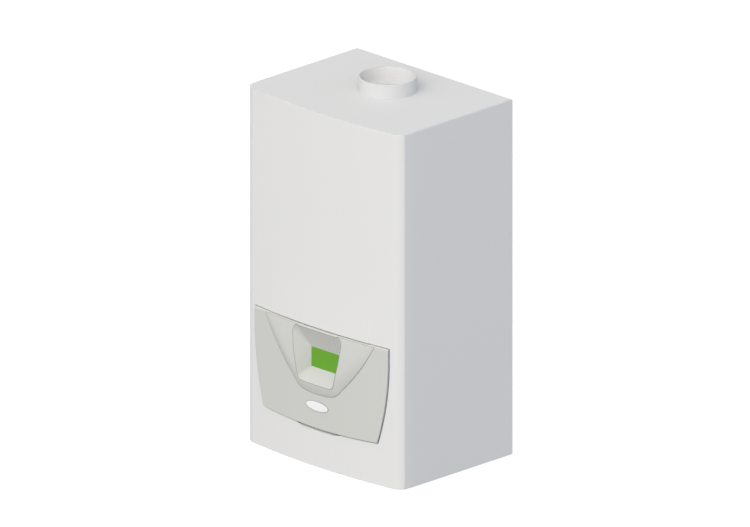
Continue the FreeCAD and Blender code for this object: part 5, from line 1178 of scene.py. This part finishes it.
def dial_figure(bar):
    """A whole bar's figure, upright inside its mark."""
    name = f"figure_{bar}"
    words = bpy.data.curves.new(name, "FONT")
    words.body = str(bar)
    words.size = FIGURE_SIZE * MM
    words.extrude = FIGURE_T * MM
    words.align_x = "CENTER"
    words.align_y = "CENTER"
    figure = placed(name, words)
    mesh = final_mesh(figure)
    bpy.data.objects.remove(figure)
    place = dial_place(dial_clock(bar / DIAL_BARS), FIGURE_R, FIGURE_LIFT)
    mesh.transform(Matrix.Translation(place) @ Matrix.Rotation(math.pi / 2, 4, "X"))
    return placed(name, mesh)


# Stage

def show(tree, output, lighting, seen):
    """Ends a tree with a shader that lights, and one that camera, mirror and glass rays see."""
    path = add_node(tree, "ShaderNodeLightPath").outputs
    direct = math_node(tree, "MAXIMUM", path["Is Glossy Ray"], path["Is Transmission Ray"])
    direct = math_node(tree, "MAXIMUM", path["Is Camera Ray"], direct)
    mix = add_node(tree, "ShaderNodeMixShader", {0: direct, 1: lighting.outputs[0], 2: seen.outputs[0]})
    add_node(tree, output, {"Surface": mix.outputs[0]})


def make_sky(settings):
    """Soft light from the key's half of the sky, with a white background."""
    world = bpy.data.worlds.new("Soft light")
    world.use_nodes = True
    bpy.context.scene.world = world
    tree = world.node_tree
    tree.nodes.clear()
    way = add_node(tree, "ShaderNodeTexCoord").outputs["Generated"]
    key = Vector(settings.key).normalized()
    facing = add_node(tree, "ShaderNodeVectorMath", {0: way, 1: key}, operation="DOT_PRODUCT")
    ramp = add_node(tree, "ShaderNodeMapRange", {
        "Value": facing.outputs["Value"], "From Min": -1.0, "From Max": 1.0})
    blend = add_node(tree, "ShaderNodeMix", data_type="RGBA", values={
        0: ramp.outputs["Result"], 6: (*settings.shade, 1.0), 7: (*settings.sky, 1.0)})
    light = add_node(tree, "ShaderNodeBackground", {"Color": blend.outputs[2]})
    white = add_node(tree, "ShaderNodeBackground", {"Color": (*WHITE, 1.0)})
    show(tree, "ShaderNodeOutputWorld", light, white)


def make_floor(settings):
    """A wide pale floor below the boiler."""
    floor = Sheet()
    height = CAD_BOX[0].z - settings.drop
    corners = ((-1, -1), (1, -1), (1, 1), (-1, 1))
    floor.cap(floor.row([Vector((x * FLOOR_REACH, y * FLOOR_REACH, height)) for x, y in corners]))
    floor = floor.piece("floor")
    material = bpy.data.materials.new("pale_floor")
    material.use_nodes = True
    tree = material.node_tree
    tree.nodes.clear()
    plain = add_node(tree, "ShaderNodeBsdfDiffuse", {"Color": (FLOOR_TONE, FLOOR_TONE, FLOOR_TONE, 1.0)})
    bright = add_node(tree, "ShaderNodeEmission", {"Strength": FLOOR_GLOW})
    both = add_node(tree, "ShaderNodeAddShader", {0: plain.outputs[0], 1: bright.outputs[0]})
    show(tree, "ShaderNodeOutputMaterial", plain, both)
    floor.data.materials.append(material)


def aimed(name, data, back):
    """A lamp or a camera that looks away from a direction."""
    holder = placed(name, data)
    holder.rotation_mode = "QUATERNION"
    holder.rotation_quaternion = Vector(back).to_track_quat("Z", "Y")
    return holder


def make_lamp(name, direction, colour, strength, spread):
    """A soft lamp far off in a direction."""
    lamp = bpy.data.lights.new(name, "SUN")
    lamp.color = colour
    lamp.energy = strength
    lamp.angle = spread
    aimed(name, lamp, direction)


def make_camera(settings):
    """A camera without perspective, to the right of the front and above it."""
    lens = bpy.data.cameras.new("Camera")
    lens.type = "ORTHO"
    lens.ortho_scale = settings.view_width
    camera = aimed("Camera", lens, CAMERA_FROM)
    camera.location = at(*CAMERA_AIM) + Vector(CAMERA_FROM).normalized() * CAMERA_AWAY
    bpy.context.scene.camera = camera


# Operators

class BOILER_OT_stage(bpy.types.Operator):
    """Set the floor, the soft light and the camera"""
    bl_idname = "boiler.stage"
    bl_label = "Stage"

    def execute(self, context):
        settings = context.scene.boiler_stage
        make_sky(settings)
        make_floor(settings)
        make_lamp("Key", settings.key, WHITE, settings.sun, KEY_SPREAD)
        make_lamp("Fill", FILL_FROM, settings.fill, FILL_STRENGTH, FILL_SPREAD)
        make_camera(settings)
        context.scene.view_settings.view_transform = "Standard"
        return {"FINISHED"}


class BOILER_OT_casing(bpy.types.Operator):
    """Build the bowed sheet-metal casing with its turned flanges"""
    bl_idname = "boiler.casing"
    bl_label = "Casing"

    def execute(self, context):
        edge = context.scene.boiler_casing.edge
        skin = smooth(casing_skin(), edge)
        high = CASING_H - TOP_FLANGE_DROP - SHEET
        flanges = [turned_flange("low_flange", 0.0), turned_flange("top_flange", high)]
        flanges = smooth(join_pieces("front_casing_flanges", flanges), edge)
        seat(skin, ["casing_paint"], "front_casing", "casing_paint", "front_casing")
        seat(flanges, ["casing_paint"], "front_casing", "casing_paint")
        stud = ball_stud()
        for name, places in STUDS.items():
            length = bow_depth(places[0][0], -SHEET) - STUD_TIP + STUD_SINK
            tips = [at(x, STUD_TIP, z) for x, z in places]
            piece = stud.piece(f"casing_studs_{name}", tips, {**STUD, "Length": length}, "zinc_screw")
            seat(piece, ["zinc_screw"], "front_casing", "casing_paint")
        return {"FINISHED"}


class BOILER_OT_door(bpy.types.Operator):
    """Build the control door with its raised shield, funnel window and hinge"""
    bl_idname = "boiler.door"
    bl_label = "Control door"

    def execute(self, context):
        shell = door_shell(context.scene.boiler_door.line / MM)
        for look in DOOR_LOOKS:
            shell.data.materials.append(finish(look))
        seat(smooth(cut_notches(shell)), DOOR_LOOKS, "control_door", "door_plastic", "control_door")
        lugs = Sheet()
        height = (HINGE_Z - LUG_R, DOOR_TOP - DOOR_EDGE_R + LUG_OVER)
        for x in LUG_XS:
            lugs.box((x, x + LUG_W), (HINGE_DEPTH - LUG_R, CASING_D), height)
        lugs = smooth(lugs.piece("control_door_lugs"), LUG_ROUND * MM)
        seat(lugs, ["door_plastic"], "control_door", "door_plastic")
        dress("spring_steel", 0.2, "hinge_rod")
        return {"FINISHED"}


class BOILER_OT_badge(bpy.types.Operator):
    """Build the blank oval badge with its fine raised rim"""
    bl_idname = "boiler.badge"
    bl_label = "Badge"

    def execute(self, context):
        rows = []
        for share, proud, _ in BADGE_RINGS:
            half_w, half_h = BADGE_W / 2 * share, BADGE_H / 2 * share
            if share > BADGE_RIM:
                half_w = BADGE_W / 2 - BADGE_H / 2 * (1 - share)
            ring = [(half_w * math.cos(turn), half_h * math.sin(turn)) for turn in around(ROUND_STEPS)]
            rows.append([at(x, bow_depth(x, DOOR_PROUD + proud), BADGE_Z + z) for x, z in ring])
        plate = Sheet()
        plate.solid(rows, [mark for _, _, mark in BADGE_RINGS])
        badge = smooth(plate.piece("door_badge_oval"))
        seat(badge, ["badge_face", "badge_rim"], "control_door", "badge_plastic", "door_badge")
        return {"FINISHED"}


class BOILER_OT_scoop(bpy.types.Operator):
    """Build the finger scoop under the door, a shallow trough whose floor curves up to the rear"""
    bl_idname = "boiler.scoop"
    bl_label = "Finger scoop"

    def execute(self, context):
        reach = math.sqrt(SCOOP_R ** 2 - (SCOOP_R - (SCOOP_ROOF - SCOOP_LOW)) ** 2)
        back = SCOOP_REAR - SCOOP_WALL
        rows = []
        for x in spaced(-reach, reach, SCOOP_STEP):
            floor, front = scoop_z(x), bow_depth(x, -SHEET)
            section = [(front, floor - SCOOP_WALL)]
            for share in shares(SCOOP_STEPS):
                rise = (SCOOP_ROOF - floor) * share ** SCOOP_CURVE
                section.append((front - (front - SCOOP_REAR) * share, floor + rise))
            section += [(back, SCOOP_ROOF + SCOOP_FALL), (back, floor - SCOOP_WALL)]
            rows.append([at(x, depth, z) for depth, z in section])
        trough = Sheet()
        trough.solid(rows)
        scoop = smooth(trough.piece("finger_scoop_trough"))
        # The scoop takes the door's plastic painted lighter, as painted light in its shaded recess.
        seat(scoop, ["scoop_plastic_painted_light"], "front_casing", "door_plastic", "finger_scoop")
        return {"FINISHED"}


class BOILER_OT_top(bpy.types.Operator):
    """Finish the top plate"""
    bl_idname = "boiler.top"
    bl_label = "Top plate"

    def execute(self, context):
        dress("top_paint", 0.4, "top_plate")
        return {"FINISHED"}


class BOILER_OT_flue(bpy.types.Operator):
    """Build the flue collar, a spun ring with a round lip and a weld, and finish the flue pieces"""
    bl_idname = "boiler.flue"
    bl_label = "Flue"

    def execute(self, context):
        lip = (COLLAR_R - COLLAR_BORE_R) / 2
        profile = [(COLLAR_BORE_R, CASING_H)] + [(COLLAR_R + out, CASING_H + up) for out, up in COLLAR_WELD]
        for share in shares(COLLAR_LIP_STEPS):
            out, up = math.cos(math.pi * share), math.sin(math.pi * share)
            profile.append((COLLAR_R - lip + lip * out, COLLAR_TOP - lip + lip * up))
        turns = around(ROUND_STEPS)
        ring = Sheet()
        rows = [[at(r * math.cos(t), FLUE_DEPTH - r * math.sin(t), z) for t in turns] for r, z in profile]
        rows = ring.grid(rows, closed=True)
        # The bore's faces take the paint's own tone; the outside takes the darkened copy, as painted shade.
        ring.strip(rows[-1], rows[0], closed=True, mark=1)
        collar = smooth(ring.piece("flue_collar_ring"))
        seat(collar, ["collar_paint", "collar_bore"], "chassis", "collar_paint", "flue_collar")
        dress("flue_plastic", 0.4, "flue_socket", "flue_pipe")
        return {"FINISHED"}


class BOILER_OT_chassis(bpy.types.Operator):
    """Finish the bracket, hook, panels, rails and clips"""
    bl_idname = "boiler.chassis"
    bl_label = "Chassis"

    def execute(self, context):
        dress("galvanised", 0.3, "wall_bracket", "hanger_hook", "back_panel", "base_plate", "top_rails")
        dress("spring_steel", 0.3, "casing_clips")
        return {"FINISHED"}


class BOILER_OT_burner(bpy.types.Operator):
    """Finish the heat exchanger, burner, hood and gas valve"""
    bl_idname = "boiler.burner"
    bl_label = "Burner"

    def execute(self, context):
        dress("cast_aluminium", 1.0, "heat_exchanger", "burner_hood", "gas_valve")
        dress("burner_steel", 0.2, "burner")
        dress("gasket", 0.0, "hood_gasket")
        dress("ceramic", 0.4, "ignition_electrode")
        return {"FINISHED"}


class BOILER_OT_fan(bpy.types.Operator):
    """Finish the fan, its motor and venturi, the diverter's actuator and the two impellers"""
    bl_idname = "boiler.fan"
    bl_label = "Fan"

    def execute(self, context):
        dress("black_plastic", 0.8, "fan_housing", "venturi", "diverter_actuator")
        dress("motor_steel", 0.8, "fan_motor")
        dress("wheel_plastic", 0.0, "fan_impeller", "pump_impeller")
        return {"FINISHED"}


class BOILER_OT_pipes(bpy.types.Operator):
    """Finish the copper pipes and the brass fittings"""
    bl_idname = "boiler.pipes"
    bl_label = "Pipes"

    def execute(self, context):
        dress("copper", 0.0, "gas_feed_pipe", "gas_supply_pipe", "pump_outlet_pipe", "flow_pipe",
              "vessel_pipe", "discharge_pipe", "connection_pipes")
        dress("brass", 0.6, "pump_body", "diverter_valve", "relief_valve", "air_vent")
        return {"FINISHED"}


class BOILER_OT_water(bpy.types.Operator):
    """Finish the sump and trap, pump motor, vessel, relief knob and plate exchanger"""
    bl_idname = "boiler.water"
    bl_label = "Water pieces"

    def execute(self, context):
        dress("sump_plastic", 0.8, "condensate_sump", "condensate_trap")
        dress("motor_paint", 1.2, "pump_motor")
        dress("vessel_paint", 0.0, "expansion_vessel")
        dress("knob_plastic", 0.5, "relief_knob")
        dress("burner_steel", 0.3, "plate_exchanger")
        return {"FINISHED"}


class BOILER_OT_controls(bpy.types.Operator):
    """Finish the control box, fascia, board, display, gauge, rocker, keys and cables"""
    bl_idname = "boiler.controls"
    bl_label = "Controls"

    def execute(self, context):
        seat(dial_face(), ["dial_white"], "chassis", "gauge_plastic")
        figures = [dial_figure(bar) for bar in range(DIAL_BARS + 1)]
        ink = smooth(join_pieces("gauge_dial_figures", [dial_marks()] + figures))
        seat(ink, ["dial_ink"], "chassis", "gauge_plastic")
        dress("control_plastic", 0.6, "control_box", "control_fascia")
        dress("board", 0.2, "control_board")
        dress("display_frame", 0.5, "display_module")
        dress("display_glow", 0.3, "display_screen", slot="screen")
        dress("gauge_plastic", 0.4, "gauge_case")
        dress("clear_glass", 0.2, "gauge_glass", slot="gauge_glass")
        dress("pointer", 0.1, "gauge_pointer")
        dress("black_plastic", 0.6, "rocker")
        dress("key_plastic", 0.0, "key_1", "key_2", "key_3", "key_4")
        dress("cable", 0.0, "cable_loom")
        return {"FINISHED"}


class BOILER_OT_fasteners(bpy.types.Operator):
    """Set the screws and the nuts"""
    bl_idname = "boiler.fasteners"
    bl_label = "Fasteners"

    def execute(self, context):
        places = [at(x, SCREW_FACE, z) for z in SCREW_ZS for x in SCREW_XS]
        screws = cross_head_screw().piece("chassis_screw_heads", places, SCREW, "zinc_screw")
        seat(screws, ["zinc_screw"], "chassis", "zinc_screw", "chassis_screws")
        places = [at(x, depth, NUT_Z) for x in NUT_XS for depth in NUT_DEPTHS]
        nuts = washered_nut().piece("hood_nut_set", places, NUT, "zinc_screw", NUT_ROUND)
        seat(nuts, ["zinc_screw"], "chassis", "zinc_screw", "hood_nuts")
        return {"FINISHED"}


OPERATORS = (
    BOILER_OT_stage, BOILER_OT_casing, BOILER_OT_door, BOILER_OT_badge, BOILER_OT_scoop, BOILER_OT_top,
    BOILER_OT_flue, BOILER_OT_chassis, BOILER_OT_burner, BOILER_OT_fan, BOILER_OT_pipes, BOILER_OT_water,
    BOILER_OT_controls, BOILER_OT_fasteners,
)
SETTINGS = (
    ("boiler_casing", CasingSettings), ("boiler_door", DoorSettings), ("boiler_stage", StageSettings),
)


class BOILER_PT_panel(bpy.types.Panel):
    """Lists the boiler's settings and pieces"""
    bl_idname = "BOILER_PT_panel"
    bl_label = "Boiler"
    bl_space_type = "VIEW_3D"
    bl_region_type = "UI"
    bl_category = "Boiler"

    def draw(self, context):
        for name, settings in SETTINGS:
            for label in settings.__annotations__:
                self.layout.prop(getattr(context.scene, name), label)
        for operator in OPERATORS:
            self.layout.operator(operator.bl_idname)


def register():
    for name, settings in SETTINGS:
        bpy.utils.register_class(settings)
        setattr(bpy.types.Scene, name, bpy.props.PointerProperty(type=settings))
    for made in OPERATORS + (BOILER_PT_panel,):
        bpy.utils.register_class(made)


def unregister():
    for made in (BOILER_PT_panel,) + OPERATORS[::-1]:
        bpy.utils.unregister_class(made)
    for name, settings in SETTINGS[::-1]:
        delattr(bpy.types.Scene, name)
        bpy.utils.unregister_class(settings)


def main():
    register()
    for operator in OPERATORS:
        family, name = operator.bl_idname.split(".")
        getattr(getattr(bpy.ops, family), name)()


if __name__ == "__main__":
    main()
